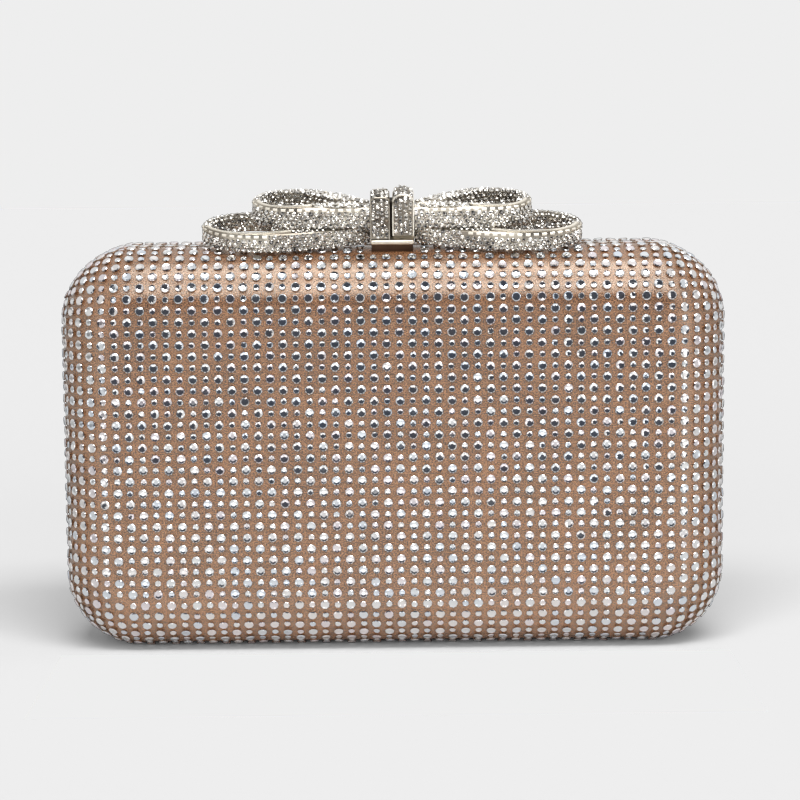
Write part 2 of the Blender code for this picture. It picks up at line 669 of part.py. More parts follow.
def rivet_row(label, side, middle, spacing, seat, pieces):
    """Two rivets up into the top flange of a frame, with their heads under the seat."""
    shank_end = CASE_HEIGHT - FLANGE_INSET + FRAME_SHEET
    y = side * FLANGE_MIDDLE
    ends = {"left": middle - spacing / 2, "right": middle + spacing / 2}
    start = seat - RIVET_HEAD_HEIGHT
    holes = [((x, y, start), (x, y, shank_end + FIT_GAP / 2)) for x in ends.values()]
    cut_all(pieces, add_tool(label + "_holes", rods(RIVET_RADIUS + RIVET_CLEARANCE, *holes)))
    for where, x in ends.items():
        rivet("_".join((label, where)), (x, y, seat), (x, y, shank_end), half_parent(side))


def tongue(rear_frame):
    """The tongue under the rear frame that runs into the catch, with a slot for the tooth."""
    left, right = TONGUE_RIGHT - TONGUE_WIDTH, TONGUE_RIGHT
    root_front, root_rear = RIM, FLANGE_EDGE
    profile = [
        (TONGUE_TIP_Y, TONGUE_BASE),
        (root_rear, TONGUE_BASE),
        (root_rear, EAR_TOP),
        (root_front, EAR_TOP),
        (root_front, TONGUE_TOP),
        (TONGUE_TIP_Y, TONGUE_TOP),
    ]
    tongue_bm = side_profile("striker_tongue", profile, left, right)
    piece = add_part("striker_tongue", tongue_bm, PALE_METAL, REAR_HALF)
    slot_half = TOOTH_WIDTH / 2 + SLOT_ROOM
    slot = box(
        (TONGUE_MIDDLE - slot_half, TOOTH_FRONT_Y - SLOT_ROOM, TONGUE_BASE - CUT_REACH / 2),
        (TONGUE_MIDDLE + slot_half, TOOTH_REAR_Y + SLOT_ROOM, TONGUE_TOP + CUT_REACH / 2),
    )
    cut(piece, add_tool("tongue_slot", slot))
    rivet_row("tongue_rivet", REAR, TONGUE_MIDDLE, TONGUE_RIVET_SPACING, TONGUE_BASE, (piece, rear_frame))


def half_layers(side):
    """The cover, shell and lining of one half, from the outside in."""
    name = half_name(side)
    return (
        tray(name + "_cover", side, 0.0, COVER_THICKNESS, SATIN),
        tray(name + "_shell", side, SHELL_INSET, SHELL_THICKNESS, BOARD),
        tray(name + "_lining", side, LINING_INSET, LINING_THICKNESS, LINING_CLOTH),
    )


def build():
    front_layers = half_layers(FRONT)
    half_layers(REAR)
    frames = {FRONT: rim_frame(FRONT), REAR: rim_frame(REAR)}
    hinges(frames)
    stem_hole = bow(front_layers)
    catch(frames[FRONT], stem_hole)
    tongue(frames[REAR])


clear_scene()
PARTS = make_collection("evening_bag")
TOOLS = make_collection("cutters")
REAR_HALF = make_frame("rear_half", Matrix())
FRONT_HALF = make_frame("front_half", Matrix.Translation((0.0, 0.0, HINGE_HEIGHT)), REAR_HALF)
BOW = make_frame("bow", BOW_FRAME, FRONT_HALF)
BUTTON = make_frame("button", BOW_FRAME @ Matrix.Translation((STEM_X, KNOT_MIDDLE, 0.0)), BOW)
build()
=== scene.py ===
"""Looks of an evening bag: satin set with clear stones, a stone-set bow, bright rims and a lined inside.

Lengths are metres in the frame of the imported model: +X to the right, -Y to the front, +Z up.
"""

import logging
import math
from dataclasses import dataclass, field
from enum import Enum

import bpy
import numpy as np
from mathutils import Matrix, Vector


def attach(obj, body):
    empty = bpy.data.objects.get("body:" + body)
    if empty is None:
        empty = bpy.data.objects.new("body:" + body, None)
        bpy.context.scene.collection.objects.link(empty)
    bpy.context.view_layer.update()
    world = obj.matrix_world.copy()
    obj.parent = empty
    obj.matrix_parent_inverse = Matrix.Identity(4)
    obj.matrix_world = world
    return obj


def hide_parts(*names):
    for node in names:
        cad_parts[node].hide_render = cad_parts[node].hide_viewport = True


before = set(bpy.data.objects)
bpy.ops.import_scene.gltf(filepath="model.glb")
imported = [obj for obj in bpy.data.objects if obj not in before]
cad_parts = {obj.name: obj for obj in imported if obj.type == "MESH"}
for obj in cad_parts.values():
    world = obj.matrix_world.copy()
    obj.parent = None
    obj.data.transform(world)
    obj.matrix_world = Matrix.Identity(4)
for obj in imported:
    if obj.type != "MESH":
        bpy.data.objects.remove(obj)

MM = 0.001
TOGETHER = 0.001 * MM  # points nearer than this count as one
SHARP = math.radians(35.0)  # faces that meet at more than this keep a sharp edge
LOG = logging.getLogger("evening_bag")
Array = np.ndarray
Triple = tuple[float, float, float]
Colour = Triple


class Named(Enum):
    """A choice whose name is a word in the names of pieces."""

    @property
    def word(self) -> str:
        """That word."""
        return self.name.lower()


class Side(Named):
    """The two halves of the case, with the sign of Y on their outside."""

    FRONT = -1
    REAR = 1

    @property
    def body(self) -> str:
        """The moving body that carries this half."""
        return self.word + "_half"


class Hand(Named):
    """The two sides of the bow as seen from the front, with their sign of X."""

    LEFT = -1
    RIGHT = 1


class Cut(Enum):
    """How a stone is cut: corners of its girdle and of its table."""

    ROUND = (16, 8)
    SMALL = (8, 8)


def unit(vectors: Array) -> Array:
    """Vectors divided by their lengths along the last axis."""
    return vectors / np.maximum(np.linalg.norm(vectors, axis=-1, keepdims=True), 1e-12)


def run_of(path: Array) -> Array:
    """The length along a path up to each of its points."""
    return np.concatenate([[0.0], np.cumsum(np.linalg.norm(np.diff(path, axis=0), axis=-1))])


def at(stops: Array, run: Array, path: Array) -> Array:
    """The values of a path at some lengths along it, on straight lines between its points."""
    return np.stack([np.interp(stops, run, column) for column in path.T], axis=-1)


def tube(path: Array, radius: float, sides: int = 8) -> "Shape":
    """A round wire along a path.

    Each ring stands square to the path, which gives its two axes with the help of one fixed direction.

    Args:
        path: Points of the centre line.
        radius: Radius of the wire.
        sides: Sides of its section.

    Returns:
        The wire with closed ends.
    """
    fixed = np.array([0.31, 0.17, 0.93])
    along = unit(np.gradient(path, axis=0))
    aside = unit(np.cross(along, fixed))
    above = np.cross(along, aside)
    turn = np.arange(sides) * 2 * np.pi / sides
    ring = aside[:, None] * np.cos(turn)[None, :, None] + above[:, None] * np.sin(turn)[None, :, None]
    return Shape.closed(path[:, None] + radius * ring)


def rounded_box(low: Array, high: Array, radius: float, steps: int = 5) -> "Shape":
    """A box with round edges.

    A globe of directions is pushed apart: each point is a corner of the inner box, chosen by the
    signs of its direction, plus the direction times the radius.

    Args:
        low: Lowest corner.
        high: Highest corner.
        radius: Radius of the edges.
        steps: Steps along each quarter round.

    Returns:
        The closed box.
    """
    quarter = np.linspace(0.0, np.pi / 2, steps + 1)
    rise = np.concatenate([quarter - np.pi / 2, quarter])
    upper = np.concatenate([np.full(steps + 1, -1.0), np.full(steps + 1, 1.0)])
    turn = np.concatenate([quarter + k * np.pi / 2 for k in range(4)])
    east = np.repeat([1.0, -1.0, -1.0, 1.0], steps + 1)
    north = np.repeat([1.0, 1.0, -1.0, -1.0], steps + 1)
    half = (high - low) / 2 - radius
    x = half[0] * east[None] + radius * np.cos(rise)[:, None] * np.cos(turn)[None]
    y = half[1] * north[None] + radius * np.cos(rise)[:, None] * np.sin(turn)[None]
    z = np.broadcast_to((half[2] * upper + radius * np.sin(rise))[:, None], x.shape)
    grid = np.stack([x, y, z], axis=-1) + (low + high) / 2
    return Shape.closed(grid)


@dataclass
class Shape:
    """A surface worked out as arrays, ready to become one piece.

    Attributes:
        points: Vertex positions, one row each.
        corners: Vertex numbers of all faces, one face after another.
        sizes: Number of corners of each face.
        tint: One value for each vertex, which finishes can read.
        cloth: Place of each vertex on the flat cloth, in millimetres.
    """

    points: Array
    corners: Array
    sizes: Array
    tint: Array | None = None
    cloth: Array | None = None

    @classmethod
    def from_rings(cls, rings: Array, caps: bool = False) -> "Shape":
        """Joins rings of points with quads.

        Args:
            rings: Points as rings, points round each ring and three coordinates.
            caps: Whether the first and the last ring are closed with one face each.

        Returns:
            The surface, with its vertices in the order of the rings.
        """
        rows, columns = rings.shape[:2]
        number = np.arange(rows * columns).reshape(rows, columns)
        number = np.concatenate([number, number[:, :1]], axis=1)
        quads = np.stack([number[:-1, :-1], number[:-1, 1:], number[1:, 1:], number[1:, :-1]], axis=-1)
        corners, sizes = quads.reshape(-1), np.full(quads.shape[0] * quads.shape[1], 4)
        if caps:
            ends = np.concatenate([np.arange(columns)[::-1], np.arange(columns) + (rows - 1) * columns])
            corners = np.concatenate([corners, ends])
            sizes = np.concatenate([sizes, [columns, columns]])
        return cls(rings.reshape(-1, 3), corners, sizes)

    @classmethod
    def closed(cls, rings: Array) -> "Shape":
        """Rings of points joined to a body with a face over each end."""
        return cls.from_rings(rings, caps=True).outward()

    @classmethod
    def joined(cls, shapes: list["Shape"]) -> "Shape":
        """Puts several surfaces into one.

        Args:
            shapes: Surfaces that all have a tint, or all have none.

        Returns:
            One surface with all their faces.
        """
        counts = np.cumsum([0] + [len(s.points) for s in shapes[:-1]])
        corners = np.concatenate([s.corners + n for s, n in zip(shapes, counts)])
        tint = None if shapes[0].tint is None else np.concatenate([s.tint for s in shapes])
        points = np.concatenate([s.points for s in shapes])
        return cls(points, corners, np.concatenate([s.sizes for s in shapes]), tint)

    def starts(self) -> Array:
        """The number of each face's first corner."""
        return np.concatenate([[0], np.cumsum(self.sizes)[:-1]])

    def fan(self) -> Array:
        """The triangles that fan out from the first corner of each face.

        Returns:
            Three vertex numbers for each triangle.
        """
        fans = self.sizes - 2
        first = np.repeat(self.starts(), fans)
        step = np.arange(fans.sum()) - np.repeat(np.cumsum(fans) - fans, fans) + 1
        return self.corners[np.stack([first, first + step, first + step + 1], axis=-1)]

    def volume(self) -> float:
        """A sixth of the sum of a . (b x c) over the triangles, below 0 where they point inwards."""
        a, b, c = (self.points[corner] for corner in self.fan().T)
        return float(np.einsum("ij,ij->", a, np.cross(b, c)) / 6)

    def welded(self) -> "Shape":
        """Joins the points that lie together, and leaves out the triangles that this closes up.

        Returns:
            The surface as triangles.
        """
        near = np.round(self.points / TOGETHER)
        kept, number = np.unique(near, axis=0, return_index=True, return_inverse=True)[1:]
        fan = number.reshape(-1)[self.fan()]
        fan = fan[(fan != np.roll(fan, 1, axis=1)).all(axis=1)]
        cloth = None if self.cloth is None else self.cloth[kept]
        return Shape(self.points[kept], fan.reshape(-1), np.full(len(fan), 3), None, cloth)

    def outward(self) -> "Shape":
        """Turns the faces round if they point inwards.

        Returns:
            This surface, with its faces pointing out.
        """
        if self.volume() < 0:
            starts = np.repeat(self.starts(), self.sizes)
            sizes = np.repeat(self.sizes, self.sizes)
            place = np.arange(len(self.corners)) - starts
            self.corners = self.corners[starts + sizes - 1 - place]
        return self

    def piece(self, name: str, material: bpy.types.Material, smooth: bool = True) -> bpy.types.Object:
        """Makes the Blender object.

        Args:
            name: Name of the piece.
            material: Its finish.
            smooth: Whether faces that meet at a flat angle shade as one curve.

        Returns:
            The object, linked to the scene.
        """
        mesh = bpy.data.meshes.new(name)
        mesh.vertices.add(len(self.points))
        mesh.vertices.foreach_set("co", self.points.astype(np.float32).reshape(-1))
        mesh.loops.add(len(self.corners))
        mesh.loops.foreach_set("vertex_index", self.corners.astype(np.int32))
        mesh.polygons.add(len(self.sizes))
        mesh.polygons.foreach_set("loop_start", self.starts().astype(np.int32))
        mesh.polygons.foreach_set("use_smooth", np.full(len(self.sizes), smooth))
        mesh.update(calc_edges=True)
        mesh.validate()
        if smooth:
            mesh.set_sharp_from_angle(angle=SHARP)
        if self.tint is not None:
            layer = mesh.attributes.new("tint", "FLOAT", "POINT")
            layer.data.foreach_set("value", self.tint.astype(np.float32))
        if self.cloth is not None:
            layer = mesh.uv_layers.new(name="cloth")
            layer.data.foreach_set("uv", self.cloth[self.corners].astype(np.float32).reshape(-1))
        mesh.materials.append(material)
        obj = bpy.data.objects.new(name, mesh)
        bpy.context.scene.collection.objects.link(obj)
        LOG.info("%s: %d faces", name, len(self.sizes))
        return obj


@dataclass(frozen=True)
class Wire:
    """An output of a node that takes part in plain arithmetic on values."""

    graph: "Graph"
    socket: bpy.types.NodeSocket

    def __add__(self, other: "Wire | float") -> "Wire":
        """The sum."""
        return self.graph.maths("ADD", self, other)

    def __radd__(self, other: float) -> "Wire":
        """The sum, with the number first."""
        return self.graph.maths("ADD", other, self)

    def __mul__(self, other: "Wire | float") -> "Wire":
        """The product."""
        return self.graph.maths("MULTIPLY", self, other)


class Graph:
    """The node tree of one material, with a Principled shader at its end."""

    def __init__(self, name: str) -> None:
        """Starts a material.

        Args:
            name: Name of the material.
        """
        self.material = bpy.data.materials.new(name)
        self.material.use_nodes = True
        self.tree = self.material.node_tree
        self.shader = self.tree.nodes["Principled BSDF"]

    def node(
        self, kind: str, settings: dict | None = None, values: dict | None = None, out: str | int = 0
    ) -> Wire:
        """Adds a node.

        Args:
            kind: Blender's name of the node type.
            settings: Properties set first; a ramp's stops go under the key stops.
            values: Numbers, colours or wires for its inputs, by name or number.
            out: The output to go on with.

        Returns:
            That output.
        """
        made = self.tree.nodes.new(kind)
        for key, value in (settings or {}).items():
            if key == "stops":
                self.set_stops(made.color_ramp, value)
            else:
                setattr(made, key, value)
        self.feed(made, values or {})
        return Wire(self, made.outputs[out])

    def feed(self, made: bpy.types.Node, values: dict) -> None:
        """Sets or links inputs of a node.

        Args:
            made: The node.
            values: Numbers, colours or wires, by name or number of the input.
        """
        for key, value in values.items():
            if isinstance(value, Wire):
                self.tree.links.new(value.socket, made.inputs[key])
            else:
                made.inputs[key].default_value = value

    @staticmethod
    def set_stops(ramp: bpy.types.ColorRamp, stops: list[tuple[float, Colour]]) -> None:
        """Gives a colour ramp its stops.

        Args:
            ramp: The ramp of a new node.
            stops: Positions and colours, from left to right.
        """
        while len(ramp.elements) < len(stops):
            ramp.elements.new(0.5)
        for element, (position, colour) in zip(ramp.elements, stops):
            element.position = position
            element.color = (*colour, 1.0)

    def maths(self, operation: str, first: "Wire | float", second: "Wire | float") -> Wire:
        """A Math node on two values."""
        return self.node("ShaderNodeMath", {"operation": operation}, {0: first, 1: second})

    def ramp(self, value: Wire, stops: list[tuple[float, Colour]]) -> Wire:
        """A colour ramp on a value."""
        return self.node("ShaderNodeValToRGB", {"stops": stops}, {"Fac": value})

    def place(self, stretch: Triple = (1.0, 1.0, 1.0), cloth: bool = False) -> Wire:
        """Coordinates for a pattern.

        Args:
            stretch: Factor on each axis.
            cloth: Whether they follow the flat cloth, in millimetres, instead of the object, in metres.

        Returns:
            The scaled coordinates.
        """
        if cloth:
            source = self.node("ShaderNodeUVMap", {"uv_map": "cloth"})
        else:
            source = self.node("ShaderNodeTexCoord", out="Object")
        return self.node("ShaderNodeVectorMath", {"operation": "MULTIPLY"}, {0: source, 1: stretch})

    def noise(self, place: Wire, scale: float, detail: float = 2.0, roughness: float = 0.5) -> Wire:
        """Soft noise from 0 to 1.

        Args:
            place: Coordinates.
            scale: Cells for each unit of the coordinates.
            detail: Finer layers.
            roughness: Weight of the finer layers.

        Returns:
            The value.
        """
        return self.node(
            "ShaderNodeTexNoise",
            {"noise_dimensions": "3D"},
            {"Vector": place, "Scale": scale, "Detail": detail, "Roughness": roughness},
        )

    def bump(self, height: Wire, distance: float, strength: float = 1.0) -> Wire:
        """The normal bent by a height from 0 to 1, with its depth in metres and the share that shows."""
        values = {"Height": height, "Distance": distance, "Strength": strength}
        return self.node("ShaderNodeBump", values=values, out="Normal")

    def principled(self, values: dict) -> bpy.types.Material:
        """Sets inputs of the shader and hands out the finished material."""
        self.feed(self.shader, values)
        return self.material


@dataclass(frozen=True)
class SatinFinish:
    """Woven satin: floats of thread along one way, a soft gloss and a little unevenness.

    Attributes:
        name: Name of the material.
        colour: Colour of the thread.
        pale: Colour of the paler threads of the grain.
        deep: Colour of the darker threads of the grain.
        roughness: Gloss of the weave.
        sheen: Weight of the soft edge light.
    """

    name: str
    colour: Colour
    pale: Colour
    deep: Colour
    roughness: float = 0.42
    sheen: float = 0.25

    def material(self) -> bpy.types.Material:
        """Builds the material on the flat place of the cloth.

        Returns:
            The material.
        """
        graph = Graph(self.name)
        flat = graph.place(cloth=True)
        fine, long = graph.place((1.0, 1.4, 1.0), cloth=True), graph.place((0.35, 1.3, 1.0), cloth=True)
        threads = graph.noise(fine, scale=2.0, detail=3.0, roughness=0.7)
        slubs = graph.noise(long, scale=0.55)
        cloud = graph.noise(flat, scale=0.05)
        tone = threads * 0.78 + slubs * 0.12 + cloud * 0.1
        colour = graph.ramp(tone, [(0.445, self.deep), (0.5, self.colour), (0.555, self.pale)])
        warp = graph.node(
            "ShaderNodeTexWave",
            {"wave_type": "BANDS", "bands_direction": "Y", "wave_profile": "SIN"},
            {"Vector": flat, "Scale": 1.1, "Distortion": 1.6, "Detail": 2.0, "Detail Scale": 1.5},
            out="Fac",
        )
        height = threads * 0.6 + warp * 0.4
        return graph.principled(
            {
                "Base Color": colour,
                "Roughness": self.roughness - 0.08 + threads * 0.16,
                "IOR": 1.8,
                "Specular IOR Level": 1.0,
                "Specular Tint": (1.0, 0.86, 0.72, 1.0),
                "Sheen Weight": self.sheen,
                "Sheen Roughness": 0.35,
                "Sheen Tint": (*self.pale, 1.0),
                "Normal": graph.bump(height, distance=0.12 * MM, strength=0.5),
            }
        )


@dataclass(frozen=True)
class StoneFinish:
    """Clear cut stone with a foil behind it, which turns each facet into a small mirror.

    Attributes:
        name: Name of the material.
        stops: Colours of the stones along their own tint.
        roughness: Polish of the facets.
    """

    name: str
    stops: tuple[tuple[float, Colour], ...]
    roughness: float = 0.06

    def material(self) -> bpy.types.Material:
        """Builds the material on each stone's own tint.

        Returns:
            The material.
        """
        graph = Graph(self.name)
        tint = graph.node("ShaderNodeAttribute", {"attribute_name": "tint"}, out="Fac")
        specks = graph.noise(graph.place(), scale=1400.0, detail=1.0)
        return graph.principled(
            {
                "Base Color": graph.ramp(tint, list(self.stops)),
                "Metallic": 1.0,
                "Roughness": self.roughness + specks * 0.05,
                "Coat Weight": 0.6,
                "Coat Roughness": 0.03,
            }
        )


@dataclass(frozen=True)
class MetalFinish:
    """Polished or brushed plating with fine handling marks.

    Attributes:
        name: Name of the material.
        colour: Colour of the metal.
        dull: Colour where it is worn or lies deep.
        roughness: Mean roughness.
        grain: Stretch of the brushing along X, Y and Z.
    """

    name: str
    colour: Colour
    dull: Colour
    roughness: float = 0.2
    grain: Triple = (1.0, 1.0, 1.0)

    def material(self) -> bpy.types.Material:
        """Builds the material on object coordinates.

        Returns:
            The material.
        """
        graph = Graph(self.name)
        marks = graph.noise(graph.place(self.grain), scale=900.0, detail=3.0, roughness=0.6)
        clouds = graph.noise(graph.place(), scale=90.0)
        return graph.principled(
            {
                "Base Color": graph.ramp(clouds, [(0.3, self.dull), (0.62, self.colour)]),
                "Metallic": 1.0,
                "Roughness": self.roughness - 0.07 + marks * 0.14,
                "Normal": graph.bump(marks, distance=0.02 * MM, strength=0.5),
            }
        )


@dataclass(frozen=True)
class BoardFinish:
    """Plain moulded board with a fine fibrous face.

    Attributes:
        name: Name of the material.
        colour: Colour of the fibres.
        dark: Colour between them.
    """

    name: str
    colour: Colour
    dark: Colour

    def material(self) -> bpy.types.Material:
        """Builds the material on object coordinates.

        Returns:
            The material.
        """
        graph = Graph(self.name)
        fibres = graph.noise(graph.place(), scale=700.0, detail=4.0, roughness=0.6)
        return graph.principled(
            {
                "Base Color": graph.ramp(fibres, [(0.35, self.dark), (0.65, self.colour)]),
                "Roughness": 0.75 + fibres * 0.15,
                "Normal": graph.bump(fibres, distance=0.05 * MM),
            }
        )


Finish = SatinFinish | StoneFinish | MetalFinish | BoardFinish

TAN_SATIN = SatinFinish(
    "tan_satin",
    colour=(0.18, 0.079, 0.0345),
    pale=(0.365, 0.171, 0.079),
    deep=(0.059, 0.0233, 0.0108),
    roughness=0.2,
    sheen=0.1,
)
LINING_SATIN = SatinFinish(
    "lining_satin",
    colour=(0.45, 0.30, 0.21),
    pale=(0.52, 0.36, 0.26),
    deep=(0.36, 0.225, 0.15),
    roughness=0.4,
    sheen=0.3,
)
CLEAR_STONE = StoneFinish(
    "clear_stone",
    (
        (0.0, (0.65, 0.70, 0.765)),
        (0.35, (0.74, 0.755, 0.76)),
        (0.7, (0.77, 0.74, 0.725)),
        (1.0, (0.73, 0.675, 0.70)),
    ),
)
PAVE_STONE = StoneFinish(
    "pave_stone",
    (
        (0.0, (0.30, 0.29, 0.28)),
        (0.3, (0.66, 0.63, 0.58)),
        (0.7, (0.86, 0.83, 0.77)),
        (1.0, (0.94, 0.93, 0.90)),
    ),
    0.07,
)
PALE_METAL = MetalFinish("pale_metal", (0.80, 0.74, 0.63), (0.66, 0.60, 0.50), 0.2)
PLATE_METAL = MetalFinish("plate_metal", (0.86, 0.79, 0.66), (0.74, 0.67, 0.55), 0.36)
BEAD_METAL = MetalFinish("bead_metal", (0.95, 0.90, 0.80), (0.84, 0.78, 0.67), 0.38)
# Painted shade: a darker copy of the bow's plating for the knot's strap, standing in for the shade on its
# sides and between its stones.
KNOT_SHADE_METAL = MetalFinish("knot_shade_metal", (0.30, 0.27, 0.225), (0.12, 0.10, 0.08), 0.34)
BOW_METAL = MetalFinish("bow_metal", (0.52, 0.475, 0.40), (0.22, 0.19, 0.155), 0.34)
# Painted shade: near black for the bow's core, which shows only through the slit of the knot, so that the
# slit reads as deep shade.
SLIT_SHADE_METAL = MetalFinish("slit_shade_metal", (0.05, 0.043, 0.034), (0.025, 0.021, 0.017), 0.5)
# Painted shade: the dark brown of the satin in the shadow under the bow's plate, given to the plate's
# foot.
PAINTED_SHADE_METAL = MetalFinish("painted_shade_metal", (0.11, 0.066, 0.042), (0.06, 0.036, 0.023), 0.6)
SPRING_STEEL = MetalFinish("spring_steel", (0.55, 0.55, 0.56), (0.42, 0.42, 0.43), 0.3, (8.0, 1.0, 1.0))
SHELL_BOARD = BoardFinish("shell_board", (0.34, 0.31, 0.27), (0.24, 0.215, 0.185))


@dataclass(frozen=True)
class Dresser:
    """Hands out one material for each finish and puts pieces on their bodies.

    Attributes:
        made: The materials made so far, by name.
    """

    made: dict = field(default_factory=dict)

    def material(self, finish: Finish) -> bpy.types.Material:
        """The material of a finish, made on first use.

        Args:
            finish: The finish.

        Returns:
            Its material.
        """
        if finish.name not in self.made:
            self.made[finish.name] = finish.material()
        return self.made[finish.name]

    def settle(self, obj: bpy.types.Object, body: str, nodes: tuple[str, ...] = ()) -> None:
        """Puts a piece on its body.

        Args:
            obj: The piece.
            body: The body that carries it.
            nodes: The nodes of the model that it stands for.
        """
        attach(obj, body)
        if nodes:
            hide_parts(*nodes)

    def add(
        self, shape: Shape, name: str, finish: Finish, body: str, slot: str, nodes: tuple[str, ...] = ()
    ) -> None:
        """Makes a piece of a shape and puts it on its body; stones keep their flat facets."""
        obj = shape.piece(name, self.material(finish), smooth=not isinstance(finish, StoneFinish))
        self.settle(obj, body, nodes)

    def repaint(self, node: str, finish: Finish) -> None:
        """Gives a node that stays in view a better finish.

        Args:
            node: Name of the node.
            finish: Its finish.
        """
        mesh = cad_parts[node].data
        mesh.materials.clear()
        mesh.materials.append(self.material(finish))
        LOG.info("%s: repainted with %s", node, finish.name)


DRESSER = Dresser()


@dataclass(frozen=True)
class StoneCutter:
    """Cuts stones and sets many of them at once.

    Heights are shares of the radius: the stone rises from a small flat foot to its girdle, which is
    its widest ring, and closes in over the crown to the table. The table is dished into facets, which
    throw the light as the foiled back of such a stone does when it is seen through its table.

    Attributes:
        cut: How the stone is faceted.
        foot: Radius of the foot.
        girdle: Height of the girdle.
        table: Radius of the table.
        height: Height of the table.
        dish: How far the middle of the table lies below its edge.
        floor: Radius of the flat in the middle of the dish.
    """

    cut: Cut = Cut.ROUND
    foot: float = 0.7
    girdle: float = 0.42
    table: float = 0.83
    height: float = 0.6
    dish: float = 0.085
    floor: float = 0.44

    @staticmethod
    def ring(count: int, radius: float, height: float, turn: float = 0.0) -> Array:
        """Points spread evenly round a circle, shifted along it by a part of a step."""
        angle = (np.arange(count) + turn) * 2 * np.pi / count
        return np.stack([radius * np.cos(angle), radius * np.sin(angle), np.full(count, height)], axis=-1)

    def template(self) -> Shape:
        """One stone of radius one, standing on its foot.

        Returns:
            The stone.
        """
        many, few = self.cut.value
        rings = [
            self.ring(few, self.foot, 0.0, 0.5),
            self.ring(many, 1.0, self.girdle),
            self.ring(few, self.table, self.height, 0.5),
            self.ring(few, self.floor, self.height - self.dish),
        ]
        k = np.arange(few)
        after = (k + 1) % few
        low, high, deep = (k + start for start in (0, few + many, few * 2 + many))
        low_after, high_after, deep_after = (after + start for start in (0, few + many, few * 2 + many))
        if many == few:
            wide, wide_after = few + k, few + after
            facets = [
                (wide, wide_after, high),
                (high, wide_after, high_after),
                (wide_after, wide, low),
                (wide_after, low, low_after),
            ]
        else:
            first, middle, last = (few + (2 * k + n) % many for n in (0, 1, 2))
            facets = [
                (first, middle, high),
                (middle, last, high),
                (high, last, high_after),
                (middle, first, low),
                (last, middle, low),
                (last, low, low_after),
            ]
        facets += [(high, deep_after, deep), (high, high_after, deep_after)]
        sides = np.concatenate([np.stack(facet, axis=-1) for facet in facets])
        corners = np.concatenate([sides.reshape(-1), k[::-1], deep])
        sizes = np.concatenate([np.full(len(sides), 3), [few, few]])
        return Shape(np.concatenate(rings), corners, sizes).outward()

    def set(self, places: Array, normals: Array, radius: float, seed: int, lean: float = 0.03) -> Shape:
        """Sets one stone at each place.

        Each stone is turned about its own axis and leans a little, and carries its own tint.

        Args:
            places: Middles of the feet.
            normals: Directions in which the tables face.
            radius: Radius of the girdle.
            seed: Start of the random row.
            lean: Spread of the lean, in radians.

        Returns:
            All the stones as one surface.
        """
        row = np.random.default_rng(seed)
        count = len(places)
        stone = self.template()
        up = unit(normals + row.normal(0.0, lean, (count, 3)))
        aside = np.where(np.abs(up[:, :1]) < 0.9, [[1.0, 0.0, 0.0]], [[0.0, 0.0, 1.0]])
        first = unit(aside - up * np.sum(aside * up, axis=-1, keepdims=True))
        second = np.cross(up, first)
        turn = row.uniform(0.0, 2 * np.pi, (count, 1))
        across = first * np.cos(turn) + second * np.sin(turn)
        along = np.cross(up, across)
        axes = np.stack([across, along, up], axis=1)
        points = places[:, None, :] + radius * np.einsum("vk,skx->svx", stone.points, axes)
        shift = np.arange(count)[:, None] * len(stone.points)
        corners = (stone.corners[None, :] + shift).reshape(-1)
        tint = np.repeat(row.uniform(0.0, 1.0, count), len(stone.points))
        return Shape(points.reshape(-1, 3), corners, np.tile(stone.sizes, count), tint)


CLEAR_CUTTER = StoneCutter()
PAVE_CUTTER = StoneCutter(Cut.SMALL, foot=0.8, girdle=0.22, table=0.62, height=0.52, dish=0.2, floor=0.3)


